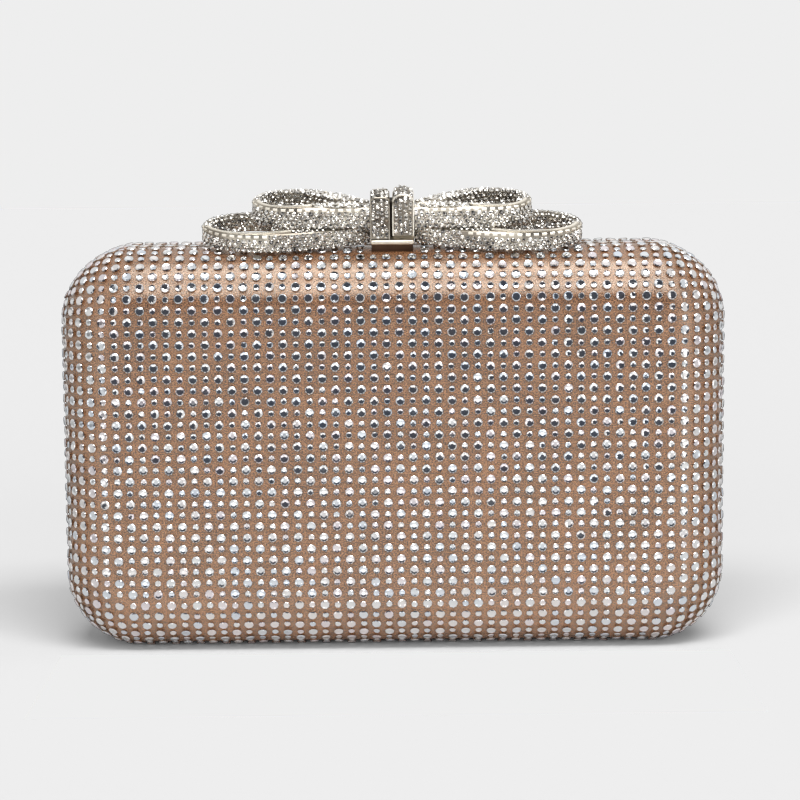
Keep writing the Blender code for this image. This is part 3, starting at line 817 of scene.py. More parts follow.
@dataclass(frozen=True)
class CaseShape:
    """The outside of the case: flat faces, round edges and walls up to the seam.

    Attributes:
        half_width: From the middle to the ends.
        half_height: From the middle to the top.
        half_depth: From the seam plane to the flat faces.
        corner: Radius of the outline seen from the front.
        edge: Radius from a face round to the walls.
        rim: From the seam plane to the edge of a cover.
    """

    half_width: float = 100.0 * MM
    half_height: float = 61.0 * MM
    half_depth: float = 26.0 * MM
    corner: float = 23.0 * MM
    edge: float = 18.0 * MM
    rim: float = 1.45 * MM

    @property
    def core(self) -> Array:
        """Half sizes of the inner rectangle that the round outline runs about."""
        return np.array([self.half_width - self.corner, self.half_height - self.corner])

    @property
    def border(self) -> float:
        """Width of the flat part of a face outside that rectangle."""
        return self.corner - self.edge

    def wrap(self, flat: Array, inset: float, side: Side) -> tuple[Array, Array, Array]:
        """Lays points of a flat cloth over one half.

        The nearest point of an inner rectangle gives the way outwards. What lies further out than
        the flat part of the face goes round the edge by its length of arc and then up the wall.

        Args:
            flat: Places on the cloth, measured from the middle of the face along X and Z.
            inset: Depth below the outside of the case.
            side: The half.

        Returns:
            Points, outward normals, and how far each point lies along the wall.
        """
        near = np.clip(flat, -self.core, self.core)
        away = flat - near
        out = np.linalg.norm(away, axis=-1)
        way = away / np.maximum(out, 1e-9)[..., None]
        past = np.maximum(out - self.border, 0.0)
        radius = self.edge - inset
        angle = np.minimum(past / radius, np.pi / 2)
        wall = np.maximum(past - radius * np.pi / 2, 0.0)
        reach = np.where(out > self.border, self.border + radius * np.sin(angle), out)
        spot = near + way * reach[..., None]
        depth = self.half_depth - self.edge + radius * np.cos(angle) - wall
        points = np.stack([spot[..., 0], side.value * depth, self.half_height + spot[..., 1]], axis=-1)
        turned = way * np.sin(angle)[..., None]
        normals = np.stack([turned[..., 0], side.value * np.cos(angle), turned[..., 1]], axis=-1)
        return points, normals, wall

    def wall_length(self) -> float:
        """Length of the straight wall between the round edge and the rim."""
        return self.half_depth - self.edge - self.rim

    def cut(self, inset: float) -> tuple[tuple[float, float], float]:
        """The flat cloth of one layer, which is a rectangle with round corners.

        From the inner rectangle to its edge it has the flat rest of the face, the arc round the edge
        and the wall. At its corners, the rectangle round it loses (4 - pi) times that reach squared.

        Args:
            inset: Depth of the layer below the outside of the case.

        Returns:
            The two sides of the rectangle round it, and its area.
        """
        reach = self.border + (self.edge - inset) * math.pi / 2 + self.wall_length()
        width, length = (float(side) for side in 2 * (self.core + reach))
        return (width, length), width * length - (4 - math.pi) * reach**2

    def cloth_rings(
        self, inset: float, inner: int = 9, arc: int = 14, wall: int = 4, fan: int = 9, side: int = 24
    ) -> Array:
        """Places on the flat cloth as rings from the middle of the face out to the rim.

        A ring inside the flat core draws the core's outline together towards a line along its
        middle. A ring outside it is the outline pushed outwards by one distance.

        Args:
            inset: Depth below the outside of the case.
            inner: Rings on the core of the face.
            arc: Rings round the edge.
            wall: Rings along the wall.
            fan: Points round each corner of a ring.
            side: Points along each side of a ring.

        Returns:
            Places as rings, points round each ring and two coordinates.
        """
        turn = np.linspace(0.0, np.pi / 2, fan)
        spin = np.stack([np.cos(turn), np.sin(turn)], axis=-1)
        signs = np.array([[1, 1], [-1, 1], [-1, -1], [1, -1]])
        steps = np.linspace(0.0, 1.0, side + 2)[1:-1, None]
        runs, ways = [], []
        for k in range(4):
            start, end = signs[k] * self.core, signs[(k + 1) % 4] * self.core
            runs += [np.repeat(start[None], fan, axis=0), start + (end - start) * steps]
            ways += [spin, np.repeat(spin[-1:], side, axis=0)]
            spin = np.stack([-spin[:, 1], spin[:, 0]], axis=-1)
        base, way = np.concatenate(runs), np.concatenate(ways)
        spread = self.core[0] - self.core[1]
        spine = np.stack([np.clip(base[:, 0], -spread, spread), np.zeros(len(base))], axis=-1)
        shares = np.linspace(0.0, 1.0, inner)[:, None, None]
        inside = spine + (base - spine) * shares
        length = (self.edge - inset) * np.pi / 2
        outs = np.concatenate(
            [
                [self.border],
                self.border + length * np.linspace(0.0, 1.0, arc + 1)[1:],
                self.border + length + self.wall_length() * np.linspace(0.0, 1.0, wall + 1)[1:],
            ]
        )
        outside = base[None] + way[None] * outs[:, None, None]
        return np.concatenate([inside, outside])

    def skin(self, inset: float, thickness: float, side: Side) -> Shape:
        """A layer of one half as a closed sheet: outside, edge at the rim and inside.

        Args:
            inset: Depth of its outside below the outside of the case.
            thickness: How thick it is.
            side: The half.

        Returns:
            The layer, with the flat place of each point.
        """
        rings = self.cloth_rings(inset)
        outer = self.wrap(rings, inset, side)[0]
        inner_rings = self.cloth_rings(inset + thickness)
        inner = self.wrap(inner_rings, inset + thickness, side)[0]
        shape = Shape.from_rings(np.concatenate([outer, inner[::-1]]))
        shape.cloth = np.concatenate([rings, inner_rings[::-1]]).reshape(-1, 2) / MM
        return shape.welded().outward()


CASE = CaseShape()


@dataclass(frozen=True)
class BowFrame:
    """The bow's own axes, which lean forward on the rounding of the case.

    Attributes:
        tilt: Lean towards the front.
    """

    tilt: float = math.radians(19.0)

    def seat(self) -> Array:
        """The point of the case that the bow stands on."""
        drop = CASE.edge * (1 - math.cos(self.tilt))
        back = CASE.half_depth - CASE.edge + CASE.edge * math.sin(self.tilt)
        return np.array([0.0, -back, 2 * CASE.half_height - drop])

    def axes(self) -> Array:
        """The bow's X, Y and Z axes as rows."""
        c, s = math.cos(self.tilt), math.sin(self.tilt)
        return np.array([[1.0, 0.0, 0.0], [0.0, c, s], [0.0, -s, c]])

    def place(self, local: Array) -> Array:
        """Points of the bow in the frame of the bag."""
        return self.seat() + local @ self.axes()

    def turn(self, local: Array) -> Array:
        """Directions of the bow in the frame of the bag."""
        return local @ self.axes()

    def own(self, points: Array) -> Array:
        """Points of the bag in the frame of the bow."""
        return (points - self.seat()) @ self.axes().T


BOW_FRAME = BowFrame()


@dataclass(frozen=True)
class CaseHalf:
    """One half of the case: satin set with stones outside, satin lining inside.

    Attributes:
        side: Front or rear.
        column_pitch: Step of the stones along X.
        row_pitch: Step of the stones along Z.
        large: Radius of the large stones.
        small: Radius of the small stones between them.
        satin_inset: Depth of the satin below the tops of the stones.
        satin_thickness: Thickness of the satin with its backing.
        lining_inset: Depth of the lining's outside.
        lining_thickness: Thickness of the lining.
        wander: Unevenness of the places of the stones.
        lean: Spread of the lean of the stones, in radians.
        rim_gap: Least room between a stone and the rim.
        columns: Columns of stones on each side of the middle.
        rows: Rows of stones above and below the middle.
        plate_middle: Middle of the room that the bow's plate needs, in the frame of the bow.
        plate_room: From that middle to the sides of the room.
    """

    side: Side
    column_pitch: float = 3.83 * MM
    row_pitch: float = 3.40 * MM
    large: float = 1.38 * MM
    small: float = 0.97 * MM
    satin_inset: float = 0.92 * MM
    satin_thickness: float = 0.8 * MM
    lining_inset: float = 4.2 * MM
    lining_thickness: float = 1.0 * MM
    wander: float = 0.06 * MM
    lean: float = 0.05
    rim_gap: float = 0.1 * MM
    columns: int = 32
    rows: int = 24
    plate_middle: Triple = (0.0, 3.5 * MM, 0.0)
    plate_room: Triple = (7.3 * MM, 6.0 * MM, 4.0 * MM)

    def build(self) -> None:
        """Makes the satin, the stones and the lining of this half."""
        outside = (self.satin_inset, self.satin_thickness)
        inside = (self.lining_inset, self.lining_thickness)
        self.layer("satin", "cover", TAN_SATIN, "satin", *outside)
        self.stones()
        self.layer("lining_satin", "lining", LINING_SATIN, "lining", *inside)

    def layer(
        self, word: str, node: str, finish: SatinFinish, slot: str, inset: float, thickness: float
    ) -> None:
        """Makes a layer of satin that is stretched and glued over the shell.

        Args:
            word: The end of its name.
            node: The end of the name of the node that it stands for.
            finish: Its finish.
            slot: Not used.
            inset: Depth of its outside.
            thickness: How thick it is.
        """
        shape = CASE.skin(inset, thickness, self.side)
        obj = shape.piece(self.side.word + "_" + word, DRESSER.material(finish))
        sides, area = CASE.cut(inset)
        DRESSER.settle(obj, self.side.body, (self.side.word + "_" + node,))

    def lattice(self) -> tuple[Array, Array]:
        """The places of the stones on the flat cloth.

        Rows and columns stand half a step off the middle, and large and small stones alternate
        along both, as on a chessboard.

        Returns:
            Places, and whether each holds a large stone.
        """
        chance = np.random.default_rng(11 if self.side is Side.FRONT else 12)
        across, up = np.arange(-self.columns, self.columns), np.arange(-self.rows, self.rows)
        columns, rows = np.meshgrid(across, up)
        flat = np.stack([(columns + 0.5) * self.column_pitch, (rows + 0.5) * self.row_pitch], axis=-1)
        flat = flat + chance.normal(0.0, self.wander, flat.shape)
        large = (columns + rows) % 2 == 0
        return flat.reshape(-1, 2), large.reshape(-1)

    def stones(self) -> None:
        """Sets the large and the small stones on the satin, clear of the rim and of the bow's plate."""
        flat, large = self.lattice()
        points, normals, wall = CASE.wrap(flat, self.satin_inset, self.side)
        for word, radius, mask in (("large", self.large, large), ("small", self.small, ~large)):
            kept = mask & (wall < CASE.wall_length() - radius - self.rim_gap)
            if self.side is Side.FRONT:
                away = np.abs(BOW_FRAME.own(points) - np.array(self.plate_middle))
                kept &= ~(away < np.array(self.plate_room)).all(axis=-1)
            seed = int(radius / MM * 100 + self.side.value)
            shape = CLEAR_CUTTER.set(points[kept], normals[kept], radius, seed, self.lean)
            name = "_".join((self.side.word, word, "stones"))
            DRESSER.add(shape, name, CLEAR_STONE, self.side.body, "satin")


@dataclass(frozen=True)
class Loop:
    """One ribbon loop of the bow: a metal band with stones on both walls and along its upper rim.

    Attributes:
        hand: Left or right of the knot.
        level: Lower or upper, in the name of the node.
        reach: From the middle of the bow to the end of the loop.
        depth: Greatest depth from wall to wall.
        front: Where its near wall lies along the bow's Y, at its deepest place.
        straightness: 0 draws both walls in alike towards the knot, 1 only the far one.
        base: Height of the band's lower rim.
        height: Height of the band.
        wall: Thickness over the stones of both sides.
        proud: How far the stones stand out of the metal.
        start: Where the loop comes out of the knot.
        apex: Where its two walls would meet inside the knot.
        hole: Where the space inside starts.
        bare: How much of that space has no stones at its start.
        bead_end: Where the beads on the near wall end towards the knot.
        strip_start: Share of the way round the loop at which the polished strip on the near rim starts.
        strip_end: Where that strip ends.
        taper: How strongly the loop draws in towards the knot.
        stone: Radius of the stones.
        rim_stone: Radius of the stones next to the outer edge of the top.
        wall_pitch: Step from stone to stone along the walls.
        row_step: Step from row to row up the walls.
        top_pitch: Step from stone to stone along the top.
        lane_start: From the outer edge of the top to its first row of stones.
        lane_step: Step from row to row across the top.
        bead: Radius of the beads.
        bead_pitch: Step from bead to bead.
        outer_lean: How far the stones of the outer wall face up.
        inner_lean: The same inside the loop.
        scatter: Spread of the lean of the stones, in radians.
        seed: Start of the random rows of its stones.
        body: The body that carries the bow.
    """

    hand: Hand
    level: str
    reach: float
    depth: float
    front: float
    straightness: float
    base: float
    height: float = 6.0 * MM
    wall: float = 2.6 * MM
    proud: float = 0.45 * MM
    start: float = 6.8 * MM
    apex: float = -1.5 * MM
    hole: float = 14.0 * MM
    bare: float = 3.5 * MM
    taper: float = 1.2
    stone: float = 0.78 * MM
    rim_stone: float = 0.68 * MM
    wall_pitch: float = 1.66 * MM
    row_step: float = 1.3 * MM
    top_pitch: float = 1.62 * MM
    lane_start: float = 0.9 * MM
    lane_step: float = 1.5 * MM
    bead: float = 0.5 * MM
    bead_pitch: float = 2.42 * MM
    bead_end: float = 8.0 * MM
    strip_start: float = 0.53
    strip_end: float = 24.0 * MM
    outer_lean: float = 0.12
    inner_lean: float = 0.8
    scatter: float = 0.26
    seed: int = 100
    body: str = "front_half"

    def swell(self, angle: Array) -> Array:
        """Half depth at a turn angle: sin a sin(a/2)^taper, as a share of its greatest value."""
        return np.sin(angle) * np.abs(np.sin(angle / 2)) ** self.taper / self.greatest()

    def widest(self) -> float:
        """The turn angle at the deepest place, where tan^2(a/2) = taper + 1."""
        return 2 * math.atan(math.sqrt(self.taper + 1))

    def greatest(self) -> float:
        """The greatest value of sin a sin(a/2)^taper."""
        return math.sin(self.widest()) * math.sin(self.widest() / 2) ** self.taper

    def axis(self, x: Array) -> Array:
        """The middle between the two walls, which bends to the front on its way to the knot.

        Args:
            x: Places along the bow.

        Returns:
            The middle along the bow's Y.
        """
        share = np.clip((x - self.apex) / (self.reach - self.apex), 0, 1)
        drawn_in = 1 - self.swell(np.minimum(np.arccos(1 - 2 * share), self.widest()))
        return self.front + self.depth / 2 * (1 - self.straightness * drawn_in)

    def teardrop(self, reach: float, apex: float, half: float, angle: Array) -> Array:
        """Points at x = apex + (reach - apex)(1 - cos a)/2, off the axis by half times the swell of a."""
        x = apex + (reach - apex) * (1 - np.cos(angle)) / 2
        return np.stack([x, self.axis(x) + half * self.swell(angle)], axis=-1)

    def paths(self, count: int) -> tuple[Array, Array]:
        """The outer and the inner face of the bare metal band.

        Short of the hole, the inner faces of the two walls lie against each other.

        Args:
            count: Steps along the loop.

        Returns:
            Points of the outer and of the inner face, in step with each other.
        """
        share = (self.start - self.apex) / (self.reach - self.apex)
        first = math.acos(1 - 2 * share)
        angle = np.linspace(first, 2 * np.pi - first, count)
        outer = self.teardrop(self.reach - self.proud, self.apex, self.depth / 2 - self.proud, angle)
        skin = self.wall - self.proud
        share = (outer[:, 0] - self.hole) / (self.reach - self.proud - self.hole)
        turn = np.arccos(np.clip(1 - 2 * share, -1, 1))
        turn = np.where(angle > np.pi, 2 * np.pi - turn, turn)
        inner = self.teardrop(self.reach - skin, self.hole, self.depth / 2 - skin, turn)
        closed = outer[:, 0] < self.hole
        seam = self.axis(outer[:, 0]) + np.where(angle > np.pi, -0.05, 0.05) * MM
        inner[closed] = np.stack([outer[:, 0], seam], axis=-1)[closed]
        return outer, inner

    def flip(self, points: Array) -> Array:
        """Puts points that are worked out for the right side on this side."""
        return points * np.array([self.hand.value, 1.0, 1.0])

    def top(self) -> float:
        """Height of the band's top face, which the stones stand out of."""
        return self.base + self.height - self.proud

    def swept(self, spot: Array, rise: Array) -> Shape:
        """A closed surface carried along the loop.

        Args:
            spot: Places in X and Y, as rings and points round each ring.
            rise: Heights of the points round each ring.

        Returns:
            The surface, on its side of the bow.
        """
        rise = np.broadcast_to(rise, spot.shape[:2])
        local = self.flip(np.concatenate([spot, rise[..., None]], axis=-1))
        return Shape.closed(BOW_FRAME.place(local))

    def beaded(self, outer: Array) -> Array:
        """Which points of the outer face lie along the beads."""
        return (np.arange(len(outer)) >= len(outer) // 2) & (outer[:, 0] > self.bead_end)

    def polished(self, outer: Array) -> Array:
        """Which points of the outer face lie along the polished strip."""
        return (np.arange(len(outer)) > len(outer) * self.strip_start) & (outer[:, 0] > self.strip_end)

    def band(self) -> Shape:
        """The bare metal band: a rounded rectangle carried along the loop.

        Returns:
            The band as a closed surface.
        """
        outer, inner = self.paths(120)
        across = np.array([0.0, 0.0, 0.12, 0.5, 0.88, 1.0, 1.0, 0.88, 0.5, 0.12])
        up = np.array([0.06, 0.94, 1.0, 1.0, 1.0, 0.94, 0.06, 0.0, 0.0, 0.0])
        spot = outer[:, None] + (inner - outer)[:, None] * across[None, :, None]
        return self.swept(spot, self.base + (self.top() - self.base) * up)

    @staticmethod
    def spaced(path: Array, pitch: float, shift: float) -> tuple[Array, Array]:
        """Points at even steps along a path.

        Args:
            path: Points in X and Y, close together, with any further values after them.
            pitch: Step along the path.
            shift: Start of the first step, as a share of a step.

        Returns:
            Points with their further values, and the outward normal at each.
        """
        step = 0.1 * MM
        flat = path[:, :2]
        run = run_of(flat)
        count = int(run[-1] / pitch)
        stops = (np.arange(count) + 0.5 * shift + 0.25) * run[-1] / count
        along = at(stops + step, run, flat) - at(stops - step, run, flat)
        return at(stops, run, path), unit(np.stack([-along[:, 1], along[:, 0]], axis=-1))

    def settings(self) -> list[tuple[Array, Array, float]]:
        """Where the stones sit.

        Returns:
            For each row: places, normals and radius, in the frame of the bow.
        """
        outer, inner = self.paths(900)
        inside = inner[inner[:, 0] > self.hole + self.bare]
        outer_levels = np.arange(0.6 * MM, self.height - 2.2 * MM, self.row_step)
        inner_levels = np.arange(0.85 * MM, self.height - 0.6 * MM, self.row_step)
        walls = [(outer, 1.0, level) for level in outer_levels]
        walls += [(inside, -1.0, level) for level in inner_levels]
        walls.append((outer[~self.beaded(outer)], 1.0, self.height - 1.35 * MM))
        rows = []
        for number, (path, sign, level) in enumerate(walls):
            spots, normal = self.spaced(path, self.wall_pitch, number % 2)
            lean = np.full(len(spots), self.outer_lean if sign > 0 else self.inner_lean)
            places = np.insert(spots, 2, self.base + level, axis=1)
            rows.append((places, np.column_stack([sign * normal, lean]), self.stone))
        return rows + self.lanes(outer, inner)

    def lanes(self, outer: Array, inner: Array) -> list[tuple[Array, Array, float]]:
        """Rows of stones on the top face, each a step further in, as far as the face is wide enough.

        Args:
            outer: The outer face of the band.
            inner: The inner face.

        Returns:
            For each row: places, normals and radius, in the frame of the bow.
        """
        width = np.linalg.norm(inner - outer, axis=-1)
        path = np.column_stack([outer, width, self.polished(outer)])
        rows = []
        for number in range(4):
            inset = self.lane_start + self.lane_step * number
            spots, normal = self.spaced(path, self.top_pitch, number % 2)
            kept = (spots[:, 2] > inset + 0.3 * MM) & (spots[:, 3] < 0.5)
            places = np.insert((spots[:, :2] - inset * normal)[kept], 2, self.top(), axis=1)
            upright = np.broadcast_to([0.0, 0.0, 1.0], places.shape)
            rows.append((places, upright, self.stone if number else self.rim_stone))
        return [row for row in rows if len(row[0])]

    def edging(self) -> Shape:
        """A polished rounded strip on the near upper rim, from the end of the loop on.

        Returns:
            The strip.
        """
        outer, inner = self.paths(400)
        part = self.polished(outer)
        outer, inner = outer[part], inner[part]
        off = np.array([0.0, 0.0, 0.15, 0.4, 0.75, 0.95, 0.95]) * MM
        up = np.array([-0.2, 0.12, 0.3, 0.36, 0.3, 0.05, -0.2]) * MM
        spot = inner[:, None] + unit(outer - inner)[:, None] * off[None, :, None]
        return self.swept(spot, self.top() + up)

    def beads(self) -> Shape:
        """Long beads along the upper edge of the outer wall: short rods with a gap after each.

        Returns:
            The beads.
        """
        steps, gap = 7, 2
        outer = self.paths(900)[0]
        spots, normal = self.spaced(outer[self.beaded(outer)], self.bead_pitch / steps, 0)
        level = np.full((len(spots), 1), self.top() - 0.75 * MM)
        local = self.flip(np.concatenate([spots - 0.1 * MM * normal, level], axis=-1))
        rods = local[: len(local) // steps * steps].reshape(-1, steps, 3)[:, :-gap]
        return Shape.joined([tube(BOW_FRAME.place(rod), self.bead, 6) for rod in rods])

    def build(self) -> None:
        """Makes the band, its stones and its bright edging."""
        name = "_".join((self.level, self.hand.word, "loop"))
        DRESSER.add(self.band(), name + "_band", BOW_METAL, self.body, "pave", (name,))
        stones = []
        for number, (local, normal, radius) in enumerate(self.settings()):
            places, facing = BOW_FRAME.place(self.flip(local)), BOW_FRAME.turn(self.flip(normal))
            stones.append(PAVE_CUTTER.set(places, facing, radius, self.seed + number, self.scatter))
        DRESSER.add(Shape.joined(stones), name + "_stones", PAVE_STONE, self.body, "pave")
        bright = Shape.joined([self.edging(), self.beads()])
        DRESSER.add(bright, name + "_edging", BEAD_METAL, self.body, "pave")


@dataclass(frozen=True)
class KnotHalf:
    """Half of the knot: a metal strap over the core with stones between two raised edges.

    Attributes:
        name: Name of the node it stands for.
        body: The body that carries it.
        left: Its left side.
        right: Its right side.
        foot: Height of its two feet.
        top: Height of its top.
        front: Its front along the bow's Y.
        back: Its back.
        shoulder: Rounding of its top along both sides.
        corner: Radius of its top edges at the front and the back.
        thickness: Of the strap over the stones.
        proud: How far the stones stand out of the metal.
        edge: Width of the raised edges.
        columns: Stones across.
        stone: Radius of the stones.
        pitch: Step from stone to stone up the strap.
        loose: How far a stone may sit off its place.
        scatter: Spread of the lean of the stones, in radians.
        seed: Start of the random row of its stones.
        wire: Radius of the wire along the upper edge.
        rim: Finish of the raised edges.
    """

    name: str
    body: str
    left: float
    right: float
    foot: float
    top: float
    shoulder: float = 1.7 * MM
    front: float = -1.0 * MM
    back: float = 8.0 * MM
    corner: float = 1.8 * MM
    thickness: float = 2.2 * MM
    proud: float = 0.42 * MM
    edge: float = 0.3 * MM
    columns: int = 4
    stone: float = 0.64 * MM
    pitch: float = 1.34 * MM
    loose: float = 0.2 * MM
    scatter: float = 0.46
    seed: int = 300
    wire: float = 0.3 * MM
    rim: MetalFinish = BEAD_METAL

    def lean(self, x: float) -> float:
        """How far a place lies round the shoulder, from 0 on the flat top to 1 or -1 at a side.

        Args:
            x: The place along the bow.

        Returns:
            The sine of the slope there.
        """
        away = x - (self.left + self.right) / 2
        flat = (self.right - self.left) / 2 - self.shoulder
        return math.copysign(min(max((abs(away) - flat) / self.shoulder, 0.0), 1.0), away)

    def drop(self, x: float) -> float:
        """How far the top lies below its middle, on a quarter circle round the shoulder."""
        return self.shoulder * (1 - math.sqrt(1 - self.lean(x) ** 2))

    def arch(self, inset: float, drop: float, steps: int = 8) -> tuple[Array, Array]:
        """The path up the front, over the top and down the back.

        Args:
            inset: Depth below the outside.
            drop: How far the top is lowered.
            steps: Steps round each corner.

        Returns:
            Points in Y and Z, and outward normals.
        """
        radius = max(self.corner - inset, 0.2 * MM)
        turn = np.linspace(0.0, np.pi / 2, steps + 1)
        near, far = self.front + inset, self.back - inset
        level = self.top - drop - inset - radius
        first = np.stack([near + radius * (1 - np.cos(turn)), level + radius * np.sin(turn)], axis=-1)
        last = np.stack([far - radius * (1 - np.sin(turn)), level + radius * np.cos(turn)], axis=-1)
        points = np.concatenate([[[near, self.foot]], first, last, [[far, self.foot]]])
        first_normal = np.stack([-np.cos(turn), np.sin(turn)], axis=-1)
        last_normal = np.stack([np.sin(turn), np.cos(turn)], axis=-1)
        normals = np.concatenate([[[-1.0, 0.0]], first_normal, last_normal, [[1.0, 0.0]]])
        return points, normals

    def strip(self, left: float, right: float, outside: float, inside: float) -> Shape:
        """A strip of the strap, carried over the arch.

        Args:
            left: Its left side.
            right: Its right side.
            outside: Depth of its outside.
            inside: Depth of its inside.

        Returns:
            The strip as a closed surface.
        """
        across = np.linspace(left, right, 11)
        columns = []
        for x, inset in [(x, outside) for x in across] + [(x, inside) for x in across[::-1]]:
            path = self.arch(inset, self.drop(x))[0]
            columns.append(np.column_stack([np.full(len(path), x), path]))
        return Shape.closed(BOW_FRAME.place(np.stack(columns, axis=1)))

    def rims(self) -> Shape:
        """The two raised edges, and the wire along the upper edge of the front face.

        Returns:
            The bright metal of this half.
        """
        left, right = self.left + self.edge, self.right - self.edge
        slant = self.corner * (1 - math.sqrt(0.5))
        across = np.linspace(self.left + self.edge / 2, self.right - self.edge / 2, 33)
        level = np.array([self.top - self.drop(x) - slant for x in across])
        wire = np.column_stack([across, np.full(len(across), self.front + slant), level])
        return Shape.joined(
            [
                self.strip(self.left, left, 0.0, self.thickness),
                self.strip(right, self.right, 0.0, self.thickness),
                tube(BOW_FRAME.place(wire), self.wire),
            ]
        )

    def settings(self) -> tuple[Array, Array]:
        """Where the stones sit on the strap.

        Returns:
            Places and normals in the frame of the bow.
        """
        step = (self.right - self.left - 2 * self.edge) / self.columns
        chance = np.random.default_rng(41)
        places, facing = [], []
        for column in range(self.columns):
            x = self.left + self.edge + (column + 0.5) * step
            path, normals = self.arch(self.proud, self.drop(x), 24)
            run = run_of(path)
            count = int(run[-1] / self.pitch)
            stops = (np.arange(count) + 0.5 + 0.25 * (-1) ** column) * run[-1] / count
            stops = stops + chance.uniform(-self.loose, self.loose, count)
            stops = np.clip(stops, self.stone, run[-1] - self.stone)
            spot, normal = at(stops, run, path), unit(at(stops, run, normals))
            lean = self.lean(x)
            upright = normal[:, 1] * math.sqrt(1 - lean**2)
            places.append(np.column_stack([x + chance.uniform(-self.loose, self.loose, count), spot]))
            facing.append(np.column_stack([normal[:, 1] * lean, normal[:, 0], upright]))
        return np.concatenate(places), np.concatenate(facing)

    def build(self) -> None:
        """Makes the strap, its bright edges and its stones."""
        tray = self.strip(self.left + self.edge, self.right - self.edge, self.proud, self.thickness)
        # The strap's metal is painted darker than the rest of the bow, as painted shade.
        DRESSER.add(tray, self.name + "_strap", KNOT_SHADE_METAL, self.body, "pave", (self.name,))
        DRESSER.add(self.rims(), self.name + "_rims", self.rim, self.body, "metal")
        places, normals = self.settings()
        places, facing = BOW_FRAME.place(places), BOW_FRAME.turn(normals)
        stones = PAVE_CUTTER.set(places, facing, self.stone, self.seed, self.scatter)
        DRESSER.add(stones, self.name + "_stones", PAVE_STONE, self.body, "pave")


@dataclass(frozen=True)
class Bow:
    """The double bow with its knot and its plate."""

    def build(self) -> None:
        """Makes the four loops, the two halves of the knot and the plate."""
        for hand in Hand:
            ends = {"bead_end": (36.0 if hand is Hand.LEFT else 20.0) * MM, "strip_end": 30.0 * MM}
            lower = {"reach": 56.9 * MM, "depth": 19.4 * MM, "front": -4.2 * MM, "base": 0.3 * MM}
            upper = {"reach": 41.8 * MM, "depth": 16.9 * MM, "front": -0.6 * MM, "base": 6.4 * MM}
            Loop(hand, "lower", straightness=0.0, **lower, **ends).build()
            Loop(hand, "upper", straightness=1.0, **upper, height=6.8 * MM).build()
        fixed = {"left": -6.5 * MM, "right": -0.7 * MM, "foot": 2.9 * MM, "top": 16.5 * MM}
        pressed = {"left": 0.1 * MM, "right": 6.5 * MM, "foot": 4.1 * MM, "top": 17.4 * MM}
        KnotHalf("fixed_knot", "front_half", **fixed, rim=BOW_METAL).build()
        self.plate()
        KnotHalf("release_button", "release_button", **pressed, shoulder=2.9 * MM).build()

    @staticmethod
    def block(low: Triple, high: Triple, radius: float) -> Shape:
        """A block with round edges, on the bow's axes.

        Args:
            low: Its lowest corner in the frame of the bow, in millimetres.
            high: Its highest corner.
            radius: Radius of its edges.

        Returns:
            The block in the frame of the bag.
        """
        box = rounded_box(np.array(low) * MM, np.array(high) * MM, radius * MM)
        box.points = BOW_FRAME.place(box.points)
        return box

    def plate(self) -> None:
        """The plate under the knot: a bright slab on a foot that sinks into the satin, painted the dark
        brown of the shaded satin there as painted shade.

        A ledge behind the foot of the release button closes the room that its travel needs.
        """
        slab = self.block((-6.5, -1.5, 1.3), (6.5, 8.5, 2.75), 0.6)
        ledge = self.block((0.3, 1.3, 2.6), (6.4, 2.2, 4.4), 0.2)
        foot = self.block((-6.2, -0.95, -1.6), (6.2, 8.0, 1.5), 0.3)
        top = Shape.joined([slab, ledge])
        DRESSER.add(top, "bow_plate_slab", PLATE_METAL, "front_half", "metal", ("bow_plate",))
        # The foot carries painted shade: the dark of the shadowed satin under the slab.
        DRESSER.add(foot, "bow_plate_foot", PAINTED_SHADE_METAL, "front_half", "metal")


@dataclass(frozen=True)
class Metalwork:
    """The rims, hinges, rivets and lock that are shown as they are modelled."""

    def build(self) -> None:
        """Repaints the nodes that stay in view."""
        # The core gets painted shade, near black, so that the slit over it looks shaded.
        special = {"catch_spring": SPRING_STEEL, "bow_core": SLIT_SHADE_METAL}
        for node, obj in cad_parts.items():
            if not obj.hide_render:
                usual = SHELL_BOARD if node.endswith("_shell") else PALE_METAL
                DRESSER.repaint(node, special.get(node, usual))


